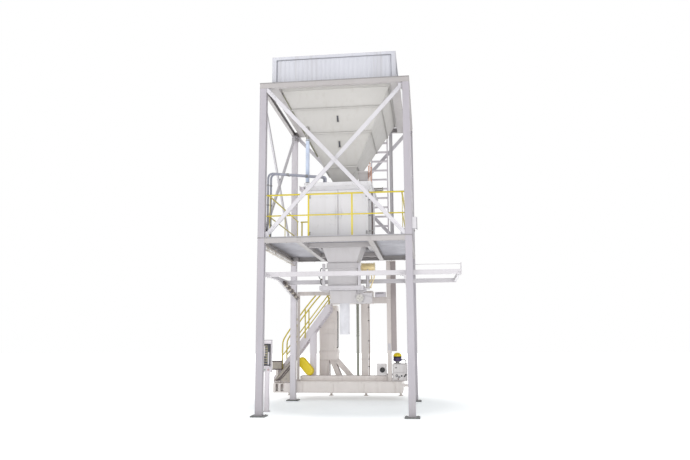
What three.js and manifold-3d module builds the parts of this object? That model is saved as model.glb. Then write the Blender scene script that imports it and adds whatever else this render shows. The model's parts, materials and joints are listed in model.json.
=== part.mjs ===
// Vertical form fill sealer: a steel tower with a surge hopper, a weigh cabinet on a guarded
// platform and a filling head, and a skid with a stair and drive gear behind it.
// Millimetres, +Z up, front towards -Y. Everything is laid out from the tower's centre line,
// and the whole group is moved at the end so that its origin is at the bottom centre.
import * as THREE from "three";
import { mergeVertices } from "three/addons/utils/BufferGeometryUtils.js";
import Module from "manifold-3d";

const wasm = await Module();
wasm.setup();

const GAP = 0.5; // between pieces that touch

// Tower
const TOWER_WIDTH = 3700;
const TOWER_DEPTH = 4140;
const COLUMN = 165;
const BASE_PLATE = 350;
const BASE_PLATE_THICK = 30;
const BEAM_DEPTH = 140;
const BEAM_FLANGE = 90;
const JOIST_FLANGE = 130;
const INSET = 3; // joists and bearers are this much shallower than the beams they run into
const TRIMMER = 70; // width of the beams in front of and behind the deck's opening
const PLATFORM_TOP = 4190;
const DECK_THICK = 10;
const TOP_FRAME_TOP = 8085;
const BRACE_WIDTH = 95;
const BRACE_THICK = 45;
const OPENING = { x0: -760, x1: 760, y0: -930, y1: 1060 };

// Hopper, gate and weigh cabinet
const HOPPER_X = -45;
const BOX_HALF_X = 1575;
const BOX_HALF_Y = 1750;
const BOX_TOP = 8885;
const CONE_TOP = 8040;
const CONE_BOTTOM = 5810;
const CONE_HALF_X = 1370;
const CONE_HALF_Y = 1600;
const OUTLET_HALF = 180;
const SHEET = 20;
const CABINET_X = -25;
const CABINET_HALF_X = 770;
const CABINET_HALF_Y = 1100;
const CABINET_TOP = 5520;
const LID_TOP = 5700;
const LID_OVERHANG = 90;

// Filling line under the platform
const FUNNEL_TOP = 4250;
const FUNNEL_HALF = 560;
const DUCT_TOP = 3740;
const DUCT_HALF = 380;
const DUCT_BOTTOM = 3125;
const CLAMP_BOTTOM = 3010;
const VALVE_Z = 3630;
const TUBE_RADIUS = 125;
const TUBE_BOTTOM = 1880;

// Guards, rails and skid
const GUARD_HEIGHT = 1050;
const MID_RAIL = 500;
const RAIL_TUBE = 21;
const TRACK_Z = 3245;
const TRACK_HEIGHT = 110;
const TRACK_END = 2975;
const SKID = { x0: -2385, x1: 1410, y0: 2075, y1: 3900, z0: 220, z1: 547 };
const TIER_TOP = 690;
const STAIR = { foot: -2400, head: -745, z0: 560, z1: 2760, y0: 2440, y1: 3020 };

const COLOURS = {
  column: [0xcfccd6, 0.45, 0.1],
  beam: [0xc2c0c4, 0.5, 0.1],
  deck: [0x77777c, 0.6, 0.3],
  brace: [0xdedde2, 0.4, 0.1],
  panel: [0xb9bcc6, 0.5, 0.2],
  cone: [0xcdccc4, 0.5, 0.1],
  cabinet: [0xe8e6ea, 0.3, 0.1],
  steel: [0xaaa8a2, 0.4, 0.7],
  machine: [0xaaa49c, 0.5, 0.2],
  yellow: [0xd8b51c, 0.4, 0.0],
  guard: [0xe0b000, 0.4, 0.0],
  dark: [0x33343a, 0.6, 0.1],
  white: [0xf0f0f2, 0.4, 0.1],
  lavender: [0xb4b2cc, 0.5, 0.1],
  blue: [0x8fb4dc, 0.5, 0.0],
  brown: [0x7d756c, 0.6, 0.1],
  brass: [0xc8a860, 0.4, 0.5],
  red: [0xc0231c, 0.4, 0.0],
  green: [0x2f9a48, 0.4, 0.0],
};

const tower = new THREE.Group();

// ---------------------------------------------------------------- solids

function solid(geometry) {
  const g = geometry.clone();
  g.deleteAttribute("normal");
  g.deleteAttribute("uv");
  const merged = mergeVertices(g, 1e-3);
  return new wasm.Manifold(
    new wasm.Mesh({
      numProp: 3,
      vertProperties: merged.attributes.position.array,
      triVerts: new Uint32Array(merged.index.array),
    }),
  );
}

function node(name, shape, look) {
  const made = shape.getMesh();
  const g = new THREE.BufferGeometry();
  g.setAttribute("position", new THREE.BufferAttribute(made.vertProperties, 3));
  g.setIndex(new THREE.BufferAttribute(made.triVerts, 1));
  g.computeVertexNormals();
  const [color, roughness, metalness] = COLOURS[look];
  const material = new THREE.MeshStandardMaterial({ color, roughness, metalness });
  const mesh = new THREE.Mesh(g, material);
  mesh.name = name;
  tower.add(mesh);
}

function join(...shapes) {
  return shapes.flat().reduce((a, b) => a.add(b));
}

function box(x0, x1, y0, y1, z0, z1) {
  const g = new THREE.BoxGeometry(Math.abs(x1 - x0), Math.abs(y1 - y0), Math.abs(z1 - z0));
  return solid(g.translate((x0 + x1) / 2, (y0 + y1) / 2, (z0 + z1) / 2));
}

// A geometry built along +Z from 0 to its length, laid from one point to another. The "side"
// vector fixes where the geometry's own X axis points.
function lay(geometry, from, to, side) {
  const z = new THREE.Vector3().subVectors(to, from).normalize();
  const y = new THREE.Vector3().crossVectors(z, side).normalize();
  const x = new THREE.Vector3().crossVectors(y, z);
  const m = new THREE.Matrix4().makeBasis(x, y, z).setPosition(from);
  return solid(geometry.applyMatrix4(m));
}

const V = (x, y, z) => new THREE.Vector3(x, y, z);

function bar(from, to, sideWidth, otherWidth, side) {
  const length = from.distanceTo(to);
  const g = new THREE.BoxGeometry(sideWidth, otherWidth, length).translate(0, 0, length / 2);
  return lay(g, from, to, side);
}

function rod(from, to, radius, sides = 12) {
  const length = from.distanceTo(to);
  const g = new THREE.CylinderGeometry(radius, radius, length, sides);
  g.rotateX(Math.PI / 2).translate(0, 0, length / 2);
  const along = new THREE.Vector3().subVectors(to, from).normalize();
  const side = Math.abs(along.z) > 0.9 ? V(1, 0, 0) : V(0, 0, 1);
  return lay(g, from, to, side);
}

// A flat outline in X and Z, given thickness along Y.
function plateXZ(points, y0, y1) {
  const shape = new THREE.Shape(points.map(([x, z]) => new THREE.Vector2(x, z)));
  const g = new THREE.ExtrudeGeometry(shape, { depth: y1 - y0, bevelEnabled: false });
  return solid(g.rotateX(Math.PI / 2).translate(0, y1, 0));
}

// A flat outline in Y and Z, given thickness along X.
function plateYZ(points, x0, x1) {
  const shape = new THREE.Shape(points.map(([y, z]) => new THREE.Vector2(y, z)));
  const g = new THREE.ExtrudeGeometry(shape, { depth: x1 - x0, bevelEnabled: false });
  return solid(g.rotateX(Math.PI / 2).rotateZ(Math.PI / 2).translate(x0, 0, 0));
}

// A four-sided funnel block: rectangular at both ends, the same proportions all the way.
function frustum(x, y, halfX0, halfX1, stretchY, z0, z1) {
  const g = new THREE.CylinderGeometry(halfX1, halfX0, z1 - z0, 4, 1, false, Math.PI / 4);
  g.rotateX(Math.PI / 2).scale(Math.SQRT2, Math.SQRT2 * stretchY, 1);
  return solid(g.translate(x, y, (z0 + z1) / 2));
}

function pipe(points, radius, sides = 10, steps = 40) {
  const path = new THREE.CatmullRomCurve3(points, false, "centripetal");
  const ring = [];
  for (let i = 0; i < sides; i++) {
    const a = (i / sides) * 2 * Math.PI;
    ring.push(new THREE.Vector2(radius * Math.cos(a), radius * Math.sin(a)));
  }
  return solid(new THREE.ExtrudeGeometry(new THREE.Shape(ring), { steps, extrudePath: path }));
}

// A rolled channel: web and two flanges, open towards the "open" side, from one end to the other.
function channel(from, to, depth, flange, open) {
  const web = 10;
  const lip = 12;
  const outline = [
    [0, -depth / 2],
    [flange, -depth / 2],
    [flange, -depth / 2 + lip],
    [web, -depth / 2 + lip],
    [web, depth / 2 - lip],
    [flange, depth / 2 - lip],
    [flange, depth / 2],
    [0, depth / 2],
  ];
  const length = from.distanceTo(to);
  const shape = new THREE.Shape(outline.map(([a, b]) => new THREE.Vector2(a, b)));
  const g = new THREE.ExtrudeGeometry(shape, { depth: length, bevelEnabled: false });
  return lay(g, from, to, open);
}

// ---------------------------------------------------------------- tower

const COLUMN_X = TOWER_WIDTH / 2 - COLUMN / 2;
const COLUMN_Y = TOWER_DEPTH / 2 - COLUMN / 2;
const INNER_X = TOWER_WIDTH / 2 - COLUMN - GAP;
const INNER_Y = TOWER_DEPTH / 2 - COLUMN - GAP;
const BEAM_BOTTOM = PLATFORM_TOP - BEAM_DEPTH;
const TOP_FRAME_BOTTOM = TOP_FRAME_TOP - BEAM_DEPTH;

function column(name, sx, sy) {
  const x = sx * COLUMN_X;
  const y = sy * COLUMN_Y;
  const h = COLUMN / 2;
  const p = BASE_PLATE / 2;
  const post = box(x - h, x + h, y - h, y + h, 0, TOP_FRAME_BOTTOM - GAP);
  const plate = box(x - p, x + p, y - p, y + p, 0, BASE_PLATE_THICK);
  node(name, join(post, plate), "column");
}

column("column_front_left", -1, -1);
column("column_front_right", 1, -1);
column("column_back_left", -1, 1);
column("column_back_right", 1, 1);

function platform() {
  const z = PLATFORM_TOP - DECK_THICK - GAP - (BEAM_DEPTH - DECK_THICK) / 2;
  const depth = BEAM_DEPTH - DECK_THICK;
  const y = TOWER_DEPTH / 2;
  const x = TOWER_WIDTH / 2;
  const reach = OPENING.x1 + 40;
  const f = BEAM_FLANGE;
  const sides = [-1, 1].map((s) =>
    channel(V(s * x, -INNER_Y, z), V(s * x, INNER_Y, z), depth, f, V(-s, 0, 0)),
  );
  const ends = [-1, 1].map((s) =>
    channel(V(-INNER_X, s * y, z), V(INNER_X, s * y, z), depth, f, V(0, -s, 0)),
  );
  const knee = 60;
  const z0 = z - depth / 2;
  const z1 = z + depth / 2;
  const corners = [-1, 1].flatMap((sx) =>
    [-1, 1].flatMap((sy) => {
      const x0 = sx * (INNER_X - knee);
      const y0 = sy * (INNER_Y - knee);
      return [
        box(x0, sx * (INNER_X - 2), y0, sy * (y - f + 5), z0 + INSET, z1 - INSET),
        box(x0, sx * (x - f + 5), y0, sy * (INNER_Y - 2), z0 + INSET, z1 - INSET),
      ];
    }),
  );
  const joists = [-1, 1].map((s) =>
    channel(
      V(s * reach, -y + 5, z),
      V(s * reach, y - 5, z),
      depth - 2 * INSET,
      JOIST_FLANGE,
      V(s, 0, 0),
    ),
  );
  const trimmers = [OPENING.y0 - TRIMMER, OPENING.y1].map((t) =>
    box(-reach - 5, reach + 5, t, t + TRIMMER, z0 + 2 * INSET, z1 - 2 * INSET),
  );
  return join(sides, ends, corners, joists, trimmers);
}

node("platform_frame", platform(), "beam");

function deck() {
  const x = TOWER_WIDTH / 2;
  const y = TOWER_DEPTH / 2;
  const z0 = PLATFORM_TOP - DECK_THICK;
  const plate = box(-x, x, -y, y, z0, PLATFORM_TOP);
  const hole = box(OPENING.x0, OPENING.x1, OPENING.y0, OPENING.y1, z0 - 1, PLATFORM_TOP + 1);
  const nx = INNER_X - 2;
  const ny = INNER_Y - 2;
  const notches = [-1, 1].flatMap((sx) =>
    [-1, 1].map((sy) =>
      box(sx * nx, sx * (x + 1), sy * ny, sy * (y + 1), z0 - 1, PLATFORM_TOP + 1),
    ),
  );
  return [hole, ...notches].reduce((a, b) => a.subtract(b), plate);
}

node("platform_deck", deck(), "deck");

const BEARER_X = 1395;
const BEARER_WIDTH = 220;

function topFrame() {
  const x = TOWER_WIDTH / 2;
  const y = TOWER_DEPTH / 2;
  const z = (TOP_FRAME_TOP + TOP_FRAME_BOTTOM) / 2;
  const f = BEAM_FLANGE;
  const ends = [-1, 1].map((s) =>
    channel(V(-x, s * y, z), V(x, s * y, z), BEAM_DEPTH, f, V(0, -s, 0)),
  );
  const sides = [-1, 1].map((s) =>
    channel(V(s * x, -y + 5, z), V(s * x, y - 5, z), BEAM_DEPTH - 2 * INSET, f, V(-s, 0, 0)),
  );
  const bearers = [-1, 1].map((s) =>
    box(
      s * BEARER_X,
      s * (BEARER_X + BEARER_WIDTH),
      -y + 5,
      y - 5,
      TOP_FRAME_BOTTOM + INSET,
      TOP_FRAME_TOP - INSET,
    ),
  );
  return join(ends, sides, bearers);
}

node("top_frame", topFrame(), "beam");

// Diagonals of one face lie in two layers, so that they cross without touching.
function braces() {
  const x = INNER_X - 2;
  const y = INNER_Y - 2;
  const z0 = PLATFORM_TOP + 2;
  const z1 = TOP_FRAME_BOTTOM - 2;
  const far = 400;
  for (const [side, s] of [["front", -1], ["back", 1]]) {
    const bay = box(-x, x, -TOWER_DEPTH, TOWER_DEPTH, z0, z1);
    for (const [layer, d] of [["a", 1], ["b", -1]]) {
      const at = s * (TOWER_DEPTH / 2 - (d > 0 ? 30 : 100));
      const a = V(-x, at, d > 0 ? z1 - 25 : z0 + 25);
      const b = V(x, at, d > 0 ? z0 + 25 : z1 - 25);
      const out = new THREE.Vector3().subVectors(b, a).normalize().multiplyScalar(far);
      const made = bar(a.sub(out), b.add(out), BRACE_THICK, BRACE_WIDTH, V(0, 1, 0));
      node(`brace_${side}_${layer}`, made.intersect(bay), "brace");
    }
  }
  for (const [side, s] of [["left", -1], ["right", 1]]) {
    const bay = box(-TOWER_WIDTH, TOWER_WIDTH, -y, y, z0, z1);
    for (const [layer, d] of [["a", 1], ["b", -1]]) {
      const at = s * (TOWER_WIDTH / 2 - (d > 0 ? 30 : 100));
      const a = V(at, -y, d > 0 ? z1 - 25 : z0 + 25);
      const b = V(at, y, d > 0 ? z0 + 25 : z1 - 25);
      const out = new THREE.Vector3().subVectors(b, a).normalize().multiplyScalar(far);
      const made = bar(a.sub(out), b.add(out), BRACE_THICK, BRACE_WIDTH, V(1, 0, 0));
      node(`brace_${side}_${layer}`, made.intersect(bay), "brace");
    }
  }
}

braces();

// ---------------------------------------------------------------- hopper

function hopperBox() {
  const x = HOPPER_X;
  const z0 = TOP_FRAME_TOP + GAP;
  const post = 110;
  const panel = 35;
  const roof = 25;
  const rim = 75;
  const outer = box(x - BOX_HALF_X, x + BOX_HALF_X, -BOX_HALF_Y, BOX_HALF_Y, z0, BOX_TOP);
  const wall = 70;
  const inner = box(
    x - BOX_HALF_X + wall,
    x + BOX_HALF_X - wall,
    -BOX_HALF_Y + wall,
    BOX_HALF_Y - wall,
    z0 - 1,
    BOX_TOP - roof,
  );
  const inlet = box(x - 450, x + 450, -450, 450, BOX_TOP - roof - 1, BOX_TOP + 1);
  const px = BOX_HALF_X - post;
  const py = BOX_HALF_Y - post;
  const recesses = [-1, 1].flatMap((s) => [
    box(x - px, x + px, s * (BOX_HALF_Y - panel), s * (BOX_HALF_Y + 1), z0 + rim, BOX_TOP - rim),
    box(x + s * (BOX_HALF_X - panel), x + s * (BOX_HALF_X + 1), -py, py, z0 + rim, BOX_TOP - rim),
  ]);
  return [inner, inlet, ...recesses].reduce((a, b) => a.subtract(b), outer);
}

node("hopper_box", hopperBox(), "panel");

const CONE_STRETCH = CONE_HALF_Y / CONE_HALF_X;

// Half width in X of the cone's outside at a height.
function coneHalf(z) {
  const t = (z - CONE_BOTTOM) / (CONE_TOP - CONE_BOTTOM);
  return OUTLET_HALF + t * (CONE_HALF_X - OUTLET_HALF);
}

function hopperCone() {
  const x = HOPPER_X * 0.5;
  const shell = frustum(x, 0, OUTLET_HALF, CONE_HALF_X, CONE_STRETCH, CONE_BOTTOM, CONE_TOP);
  const bearing = BEARER_X - 4;
  const flangeTop = box(
    -bearing,
    bearing,
    -CONE_HALF_Y - 130,
    CONE_HALF_Y + 130,
    CONE_TOP - 20,
    TOP_FRAME_TOP - GAP,
  );
  const stiffeners = [7600, 7050, 6270].map((z) =>
    frustum(x, 0, coneHalf(z) + 28, coneHalf(z + 16) + 28, CONE_STRETCH, z, z + 16),
  );
  const foot = box(x - 230, x + 230, -230, 230, CONE_BOTTOM, CONE_BOTTOM + 14);
  const hollow = frustum(
    x,
    0,
    OUTLET_HALF - SHEET,
    CONE_HALF_X - SHEET,
    CONE_STRETCH,
    CONE_BOTTOM,
    CONE_TOP,
  );
  const h = OUTLET_HALF - SHEET;
  const outlet = box(x - h, x + h, -h, h, CONE_BOTTOM - 1, CONE_BOTTOM + 60);
  const mouthX = CONE_HALF_X - SHEET;
  const mouthY = CONE_HALF_Y - SHEET * CONE_STRETCH;
  const mouth = box(x - mouthX, x + mouthX, -mouthY, mouthY, CONE_TOP - 1, TOP_FRAME_TOP + 1);
  return join(shell, flangeTop, stiffeners, foot)
    .subtract(hollow)
    .subtract(outlet)
    .subtract(mouth);
}

node("hopper_cone", hopperCone(), "cone");

// Slide gate under the cone: a split frame with a slot for the blade, and its air cylinder.
const GATE_X = HOPPER_X * 0.5;
const GATE_Z = 5756;
const BLADE_THICK = 12;

function gateHousing() {
  const bottom = LID_TOP + GAP;
  const top = CONE_BOTTOM - GAP;
  const frame = box(GATE_X - 260, GATE_X + 260, -240, 240, bottom, top);
  const bore = box(GATE_X - 170, GATE_X + 170, -170, 170, bottom - 1, top + 1);
  const slot = box(
    GATE_X - 225,
    GATE_X + 261,
    -204,
    204,
    GATE_Z - BLADE_THICK / 2 - 4,
    GATE_Z + BLADE_THICK / 2 + 4,
  );
  const shelf = box(GATE_X + 250, GATE_X + 800, 170, 225, bottom, bottom + 16);
  const stand = box(GATE_X + 700, GATE_X + 780, 60, 225, bottom, bottom + 30);
  const cylinder = rod(V(GATE_X + 700, 90, GATE_Z), V(GATE_X + 1080, 90, GATE_Z), 38, 16);
  return join(frame.subtract(bore).subtract(slot), shelf, stand, cylinder);
}

function gateBlade() {
  const x0 = GATE_X - 215;
  const x1 = GATE_X + 300;
  const blade = box(x0, x1, -200, 200, GATE_Z - BLADE_THICK / 2, GATE_Z + BLADE_THICK / 2);
  const lug = box(x1 - 20, x1 + 5, 60, 120, GATE_Z - 25, GATE_Z + 25);
  const shaft = rod(V(x1, 90, GATE_Z), V(x1 + 15, 90, GATE_Z), 12, 10);
  return join(blade, lug, shaft);
}

node("gate_housing", gateHousing(), "steel");
node("gate_blade", gateBlade(), "steel");

// ---------------------------------------------------------------- weigh cabinet

const CABINET_BOTTOM = PLATFORM_TOP + GAP;
const DOOR_THICK = 24;
const CABINET_FLOOR = 60;
const LID_SKIRT = 90;
const DOOR_BOTTOM = CABINET_BOTTOM + CABINET_FLOOR + 2;
const DOOR_TOP = CABINET_TOP - 20;

function cabinet() {
  const x = CABINET_X;
  const hx = CABINET_HALF_X;
  const hy = CABINET_HALF_Y;
  const wall = 40;
  const body = box(x - hx, x + hx, -hy + DOOR_THICK + 6, hy, CABINET_BOTTOM, CABINET_TOP + 20);
  const floor = CABINET_BOTTOM + CABINET_FLOOR;
  const ceiling = CABINET_TOP - 20;
  const ex = hx + LID_OVERHANG;
  const ey = hy + LID_OVERHANG;
  const skirtTop = CABINET_TOP + LID_SKIRT;
  const lid = box(x - ex, x + ex, -ey, ey, skirtTop, LID_TOP);
  const skirt = frustum(x, 0, hx + 5, ex, ey / ex, CABINET_TOP, skirtTop);
  const room = box(x - hx + wall, x + hx - wall, -hy - 1, hy - wall, floor, ceiling);
  const holeX = OPENING.x1 - 120;
  const holeY = [OPENING.y0 + 60, OPENING.y1 - 60];
  const floorHole = box(x - holeX, x + holeX, ...holeY, CABINET_BOTTOM - 1, floor + 1);
  const inlet = box(GATE_X - 200, GATE_X + 200, -200, 200, CABINET_TOP - 30, LID_TOP + 1);
  return join(body, lid, skirt).subtract(room).subtract(floorHole).subtract(inlet);
}

node("weigh_cabinet", cabinet(), "cabinet");

const DOOR_HINGE = CABINET_HALF_X - 12;

function door(name, s) {
  const outer = CABINET_X + s * (CABINET_HALF_X - 2);
  const inner = CABINET_X + s * 3;
  const y = -CABINET_HALF_Y;
  const leaf = box(outer, inner, y, y + DOOR_THICK, DOOR_BOTTOM, DOOR_TOP);
  const grip = CABINET_X + s * 70;
  const handle = box(grip - 12, grip + 12, y - 46, y - 26, 4780, 5020);
  const feet = [4800, 5000].map((z) => box(grip - 9, grip + 9, y - 30, y + 5, z - 9, z + 9));
  const knuckles = [DOOR_BOTTOM + 150, DOOR_TOP - 150].map((z) =>
    rod(
      V(CABINET_X + s * DOOR_HINGE, y - 6, z - 50),
      V(CABINET_X + s * DOOR_HINGE, y - 6, z + 50),
      11,
      10,
    ),
  );
  node(name, join(leaf, handle, feet, knuckles), "cabinet");
}

door("cabinet_door_left", -1);
door("cabinet_door_right", 1);

const FLAP_Z = 4700;
const FLAP_HINGE = 270;
const BUCKET_HALF = 520;
const BUCKET_MOUTH = 250;
const BUCKET_TOP = 5380;
const BUCKET_WALL = 15;

function weighBucket() {
  const x = GATE_X;
  const h = BUCKET_HALF;
  const m = BUCKET_MOUTH;
  const low = FLAP_Z + 30;
  const shoulder = BUCKET_TOP - 250;
  const outside = frustum(x, 0, m, h, 1, low, shoulder);
  const upper = box(x - h, x + h, -h, h, shoulder - 1, BUCKET_TOP);
  const hi = h - BUCKET_WALL;
  const mi = m - BUCKET_WALL;
  const hollow = frustum(x, 0, mi, hi, 1, low, shoulder);
  const hollowTop = box(x - hi, x + hi, -hi, hi, shoulder - 2, BUCKET_TOP + 1);
  const mouth = box(x - mi, x + mi, -mi, mi, low - 1, low + BUCKET_WALL);
  const top = CABINET_TOP - 20 - GAP;
  const hangers = [-1, 1].flatMap((sx) =>
    [-1, 1].map((sy) =>
      box(x + sx * 440, x + sx * 500, sy * hi, sy * (h + 25), BUCKET_TOP - 120, top),
    ),
  );
  return join(outside, upper)
    .subtract(hollow)
    .subtract(hollowTop)
    .subtract(mouth)
    .add(join(hangers));
}

node("weigh_bucket", weighBucket(), "steel");

function flap(name, s) {
  const x = GATE_X;
  const pivot = x + s * FLAP_HINGE;
  const plate = box(x + s * 3, pivot, -262, 262, FLAP_Z + 8, FLAP_Z + 20);
  const shaft = rod(V(pivot, -300, FLAP_Z + 4), V(pivot, 300, FLAP_Z + 4), 13);
  const lip = box(x + s * 120, x + s * 132, -240, 240, FLAP_Z - 22, FLAP_Z + 9);
  node(name, join(plate, shaft, lip), "steel");
}

flap("bucket_flap_left", -1);
flap("bucket_flap_right", 1);

// ---------------------------------------------------------------- filling line

const LINE_X = -10;
const DUCT_FLANGE = 30;

function funnel() {
  const x = LINE_X;
  const taper = frustum(x, 0, DUCT_HALF, FUNNEL_HALF, 1, DUCT_TOP, FUNNEL_TOP);
  const r = FUNNEL_HALF + 50;
  const rim = box(x - r, x + r, -r, r, FUNNEL_TOP - 14, FUNNEL_TOP);
  const d = DUCT_HALF;
  const duct = box(x - d, x + d, -d, d, DUCT_BOTTOM, DUCT_TOP);
  const f = DUCT_HALF + DUCT_FLANGE;
  const flange = box(x - f, x + f, -f, f, DUCT_TOP - 160, DUCT_TOP - 20);
  const b = DUCT_HALF - SHEET;
  const m = FUNNEL_HALF - SHEET;
  const innerTaper = frustum(x, 0, b, m, 1, DUCT_TOP, FUNNEL_TOP);
  const bore = box(x - b, x + b, -b, b, DUCT_BOTTOM - 1, DUCT_TOP + 1);
  const shaftHole = rod(V(x - r, 0, VALVE_Z), V(x + r, 0, VALVE_Z), 22, 16);
  const mouth = box(x - m, x + m, -m, m, FUNNEL_TOP - 2, FUNNEL_TOP + 1);
  return join(taper, rim, duct, flange)
    .subtract(innerTaper)
    .subtract(bore)
    .subtract(shaftHole)
    .subtract(mouth);
}

node("discharge_funnel", funnel(), "cone");

function valveBlade() {
  const x = LINE_X;
  const h = DUCT_HALF - SHEET - 14;
  const blade = box(x - h, x + h, -h, h, VALVE_Z - 5, VALVE_Z + 5);
  const shaft = rod(V(x - 470, 0, VALVE_Z), V(x + 440, 0, VALVE_Z), 18, 16);
  const lever = box(x - 466, x - 448, -14, 120, VALVE_Z - 14, VALVE_Z + 14);
  const grip = rod(V(x - 560, 108, VALVE_Z), V(x - 450, 108, VALVE_Z), 12, 10);
  return join(blade, shaft, lever, grip);
}

node("valve_blade", valveBlade(), "steel");

function actuator() {
  const x = LINE_X + DUCT_HALF + DUCT_FLANGE + GAP;
  const mount = box(x, x + 12, -90, 90, VALVE_Z - 90, VALVE_Z + 90);
  const drum = rod(V(x + 5, 0, VALVE_Z), V(x + 380, 0, VALVE_Z), 130, 20);
  const cap = rod(V(x + 375, 0, VALVE_Z), V(x + 410, 0, VALVE_Z), 100, 20);
  const bore = rod(V(x - 1, 0, VALVE_Z), V(x + 60, 0, VALVE_Z), 24, 16);
  return join(mount, drum, cap).subtract(bore);
}

node("valve_actuator", actuator(), "brass");

function clampFrame() {
  const x = LINE_X - 20;
  const h = 575;
  const top = DUCT_BOTTOM - GAP;
  const frame = box(x - h, x + h, -450, 450, CLAMP_BOTTOM, top);
  const bore = box(LINE_X - 330, LINE_X + 330, -330, 330, CLAMP_BOTTOM - 1, top + 1);
  const posts = [-1, 1].map((s) => box(x + s * 430, x + s * 500, -445, -375, top - 5, 3700));
  const bracket = box(x + h - 5, x + 720, -300, -200, CLAMP_BOTTOM + 20, CLAMP_BOTTOM + 50);
  const cylinder = rod(V(x + 670, -250, CLAMP_BOTTOM + 45), V(x + 670, -250, 3420), 42, 14);
  const stem = rod(V(x + 670, -250, 3415), V(x + 670, -250, 3560), 14, 10);
  return join(frame.subtract(bore), posts, bracket, cylinder, stem);
}

node("clamp_frame", clampFrame(), "white");

const HEAD_FRONT = -300;
const SHEAVE = { x: 440, z: 2800 };
const HEAD_BACK = 2150;
const TUBE_SEAT = 2800; // shoulder in the head that the tube's collar hangs on
const TUBE_SEAT_RADIUS = 148;

function headArm() {
  const x0 = -345;
  const x1 = 330;
  const side = [
    [HEAD_FRONT, 2672],
    [HEAD_FRONT, CLAMP_BOTTOM - GAP],
    [500, CLAMP_BOTTOM - GAP],
    [HEAD_BACK, 3165],
    [HEAD_BACK, 2795],
  ];
  const body = plateYZ(side, x0, x1);
  const plate = plateXZ(roundedPlate(400, 2790, 130, 352), HEAD_FRONT - 14, HEAD_FRONT + 6);
  const hub = V(SHEAVE.x, HEAD_FRONT - 40, SHEAVE.z);
  const boss = rod(hub, V(SHEAVE.x, HEAD_FRONT, SHEAVE.z), 26, 14);
  const arm = box(x1 - 5, 752, HEAD_FRONT + 4, HEAD_FRONT + 80, 2700, 2940);
  const throat = frustum(0, 0, TUBE_SEAT_RADIUS + 12, 290, 1, TUBE_SEAT, CLAMP_BOTTOM + 1);
  const bore = rod(V(0, 0, 2600), V(0, 0, TUBE_SEAT + 1), TUBE_RADIUS + 3, 28);
  return join(body, arm, plate, boss).subtract(throat).subtract(bore);
}

// Outline of a plate with one fully rounded end: centre, end radius and straight length.
function roundedPlate(x, z, radius, length) {
  const points = [];
  for (let i = 0; i <= 8; i++) {
    const a = Math.PI / 2 + (i / 8) * Math.PI;
    points.push([x + radius * Math.cos(a), z + radius * Math.sin(a)]);
  }
  points.push([x + length, z - radius], [x + length, z + radius * 0.2]);
  return points.reverse();
}

node("head_arm", headArm(), "machine");

function fillTube() {
  const outline = [
    [TUBE_RADIUS - 5, TUBE_BOTTOM],
    [TUBE_RADIUS, TUBE_BOTTOM],
    [TUBE_RADIUS, TUBE_SEAT + GAP],
    [TUBE_SEAT_RADIUS, TUBE_SEAT + GAP],
    [TUBE_SEAT_RADIUS, TUBE_SEAT + 12],
    [TUBE_RADIUS - 5, TUBE_SEAT + 12],
    [TUBE_RADIUS - 5, TUBE_BOTTOM],
  ].map(([r, z]) => new THREE.Vector2(r, z));
  return solid(new THREE.LatheGeometry(outline, 28).rotateX(Math.PI / 2));
}

node("fill_tube", fillTube(), "white");

// ---------------------------------------------------------------- ladder, pipes and ducts

const LADDER = { x: 855, y: 1745, halfWidth: 255, halfDepth: 40, stile: 35 };
const TREAD = { pitch: 280, thickness: 40, inset: 3 };

// Fixed ladder from the platform to the top frame, with flat box treads between its stiles.
function ladder() {
  const { x, y, halfWidth, halfDepth, stile } = LADDER;
  const stiles = [x - halfWidth, x + halfWidth - stile].map((left) =>
    box(left, left + stile, y - halfDepth, y + halfDepth, PLATFORM_TOP + GAP, TOP_FRAME_BOTTOM - GAP),
  );
  const reach = halfWidth - TREAD.inset;
  const depth = halfDepth - TREAD.inset;
  const treads = [];
  for (let z = PLATFORM_TOP + TREAD.pitch; z < TOP_FRAME_BOTTOM - TREAD.thickness; z += TREAD.pitch) {
    const low = z - TREAD.thickness / 2;
    treads.push(box(x - reach, x + reach, y - depth, y + depth, low, low + TREAD.thickness));
  }
  return join(stiles, treads);
}

node("ladder", ladder(), "lavender");

function cableTray() {
  const y = 1770;
  const top = TOP_FRAME_BOTTOM - GAP;
  const tray = box(1150, 1250, y - 20, y + 20, PLATFORM_TOP + GAP, top);
  const hollow = box(1156, 1244, y - 21, y + 14, PLATFORM_TOP + 40, top - 40);
  return tray.subtract(hollow);
}

node("cable_tray", cableTray(), "brown");

function dustElbow() {
  const y = 1600;
  const points = [V(985, y, 7850), V(760, y, 7850), V(670, y, 7760), V(655, y, 7200)];
  return pipe(points, 75, 12, 16);
}

node("dust_elbow", dustElbow(), "white");

function processPipe(name, offset, look) {
  const points = [
    V(-1692, -1690 + offset, PLATFORM_TOP + 2),
    V(-1692, -1690 + offset, 5600),
    V(-1670, -1680 + offset, 5770),
    V(-1560, -1620 + offset, 5870),
    V(-560, -1170 + offset, 6030),
    V(-380, -1110 + offset, 5990),
    V(-340, -1110 + offset, 5860),
    V(-340, -1110 + offset, LID_TOP + 6),
  ];
  node(name, pipe(points, 27, 8, 40), look);
}

processPipe("pipe_front", 0, "dark");
processPipe("pipe_back", 80, "lavender");

function bellows() {
  const r = 52;
  const z0 = LID_TOP + 2;
  const pitch = 90;
  const folds = 13;
  const outline = [new THREE.Vector2(0, z0)];
  for (let i = 0; i < folds; i++) {
    outline.push(new THREE.Vector2(r, z0 + i * pitch));
    outline.push(new THREE.Vector2(r - 10, z0 + (i + 0.5) * pitch));
  }
  const top = z0 + folds * pitch;
  outline.push(new THREE.Vector2(r, top), new THREE.Vector2(0, top));
  const hose = new THREE.LatheGeometry(outline, 12).rotateX(Math.PI / 2);
  return solid(hose.translate(-815, -1075, 0));
}

node("bellows_hose", bellows(), "blue");

// ---------------------------------------------------------------- guards and rails

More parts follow.
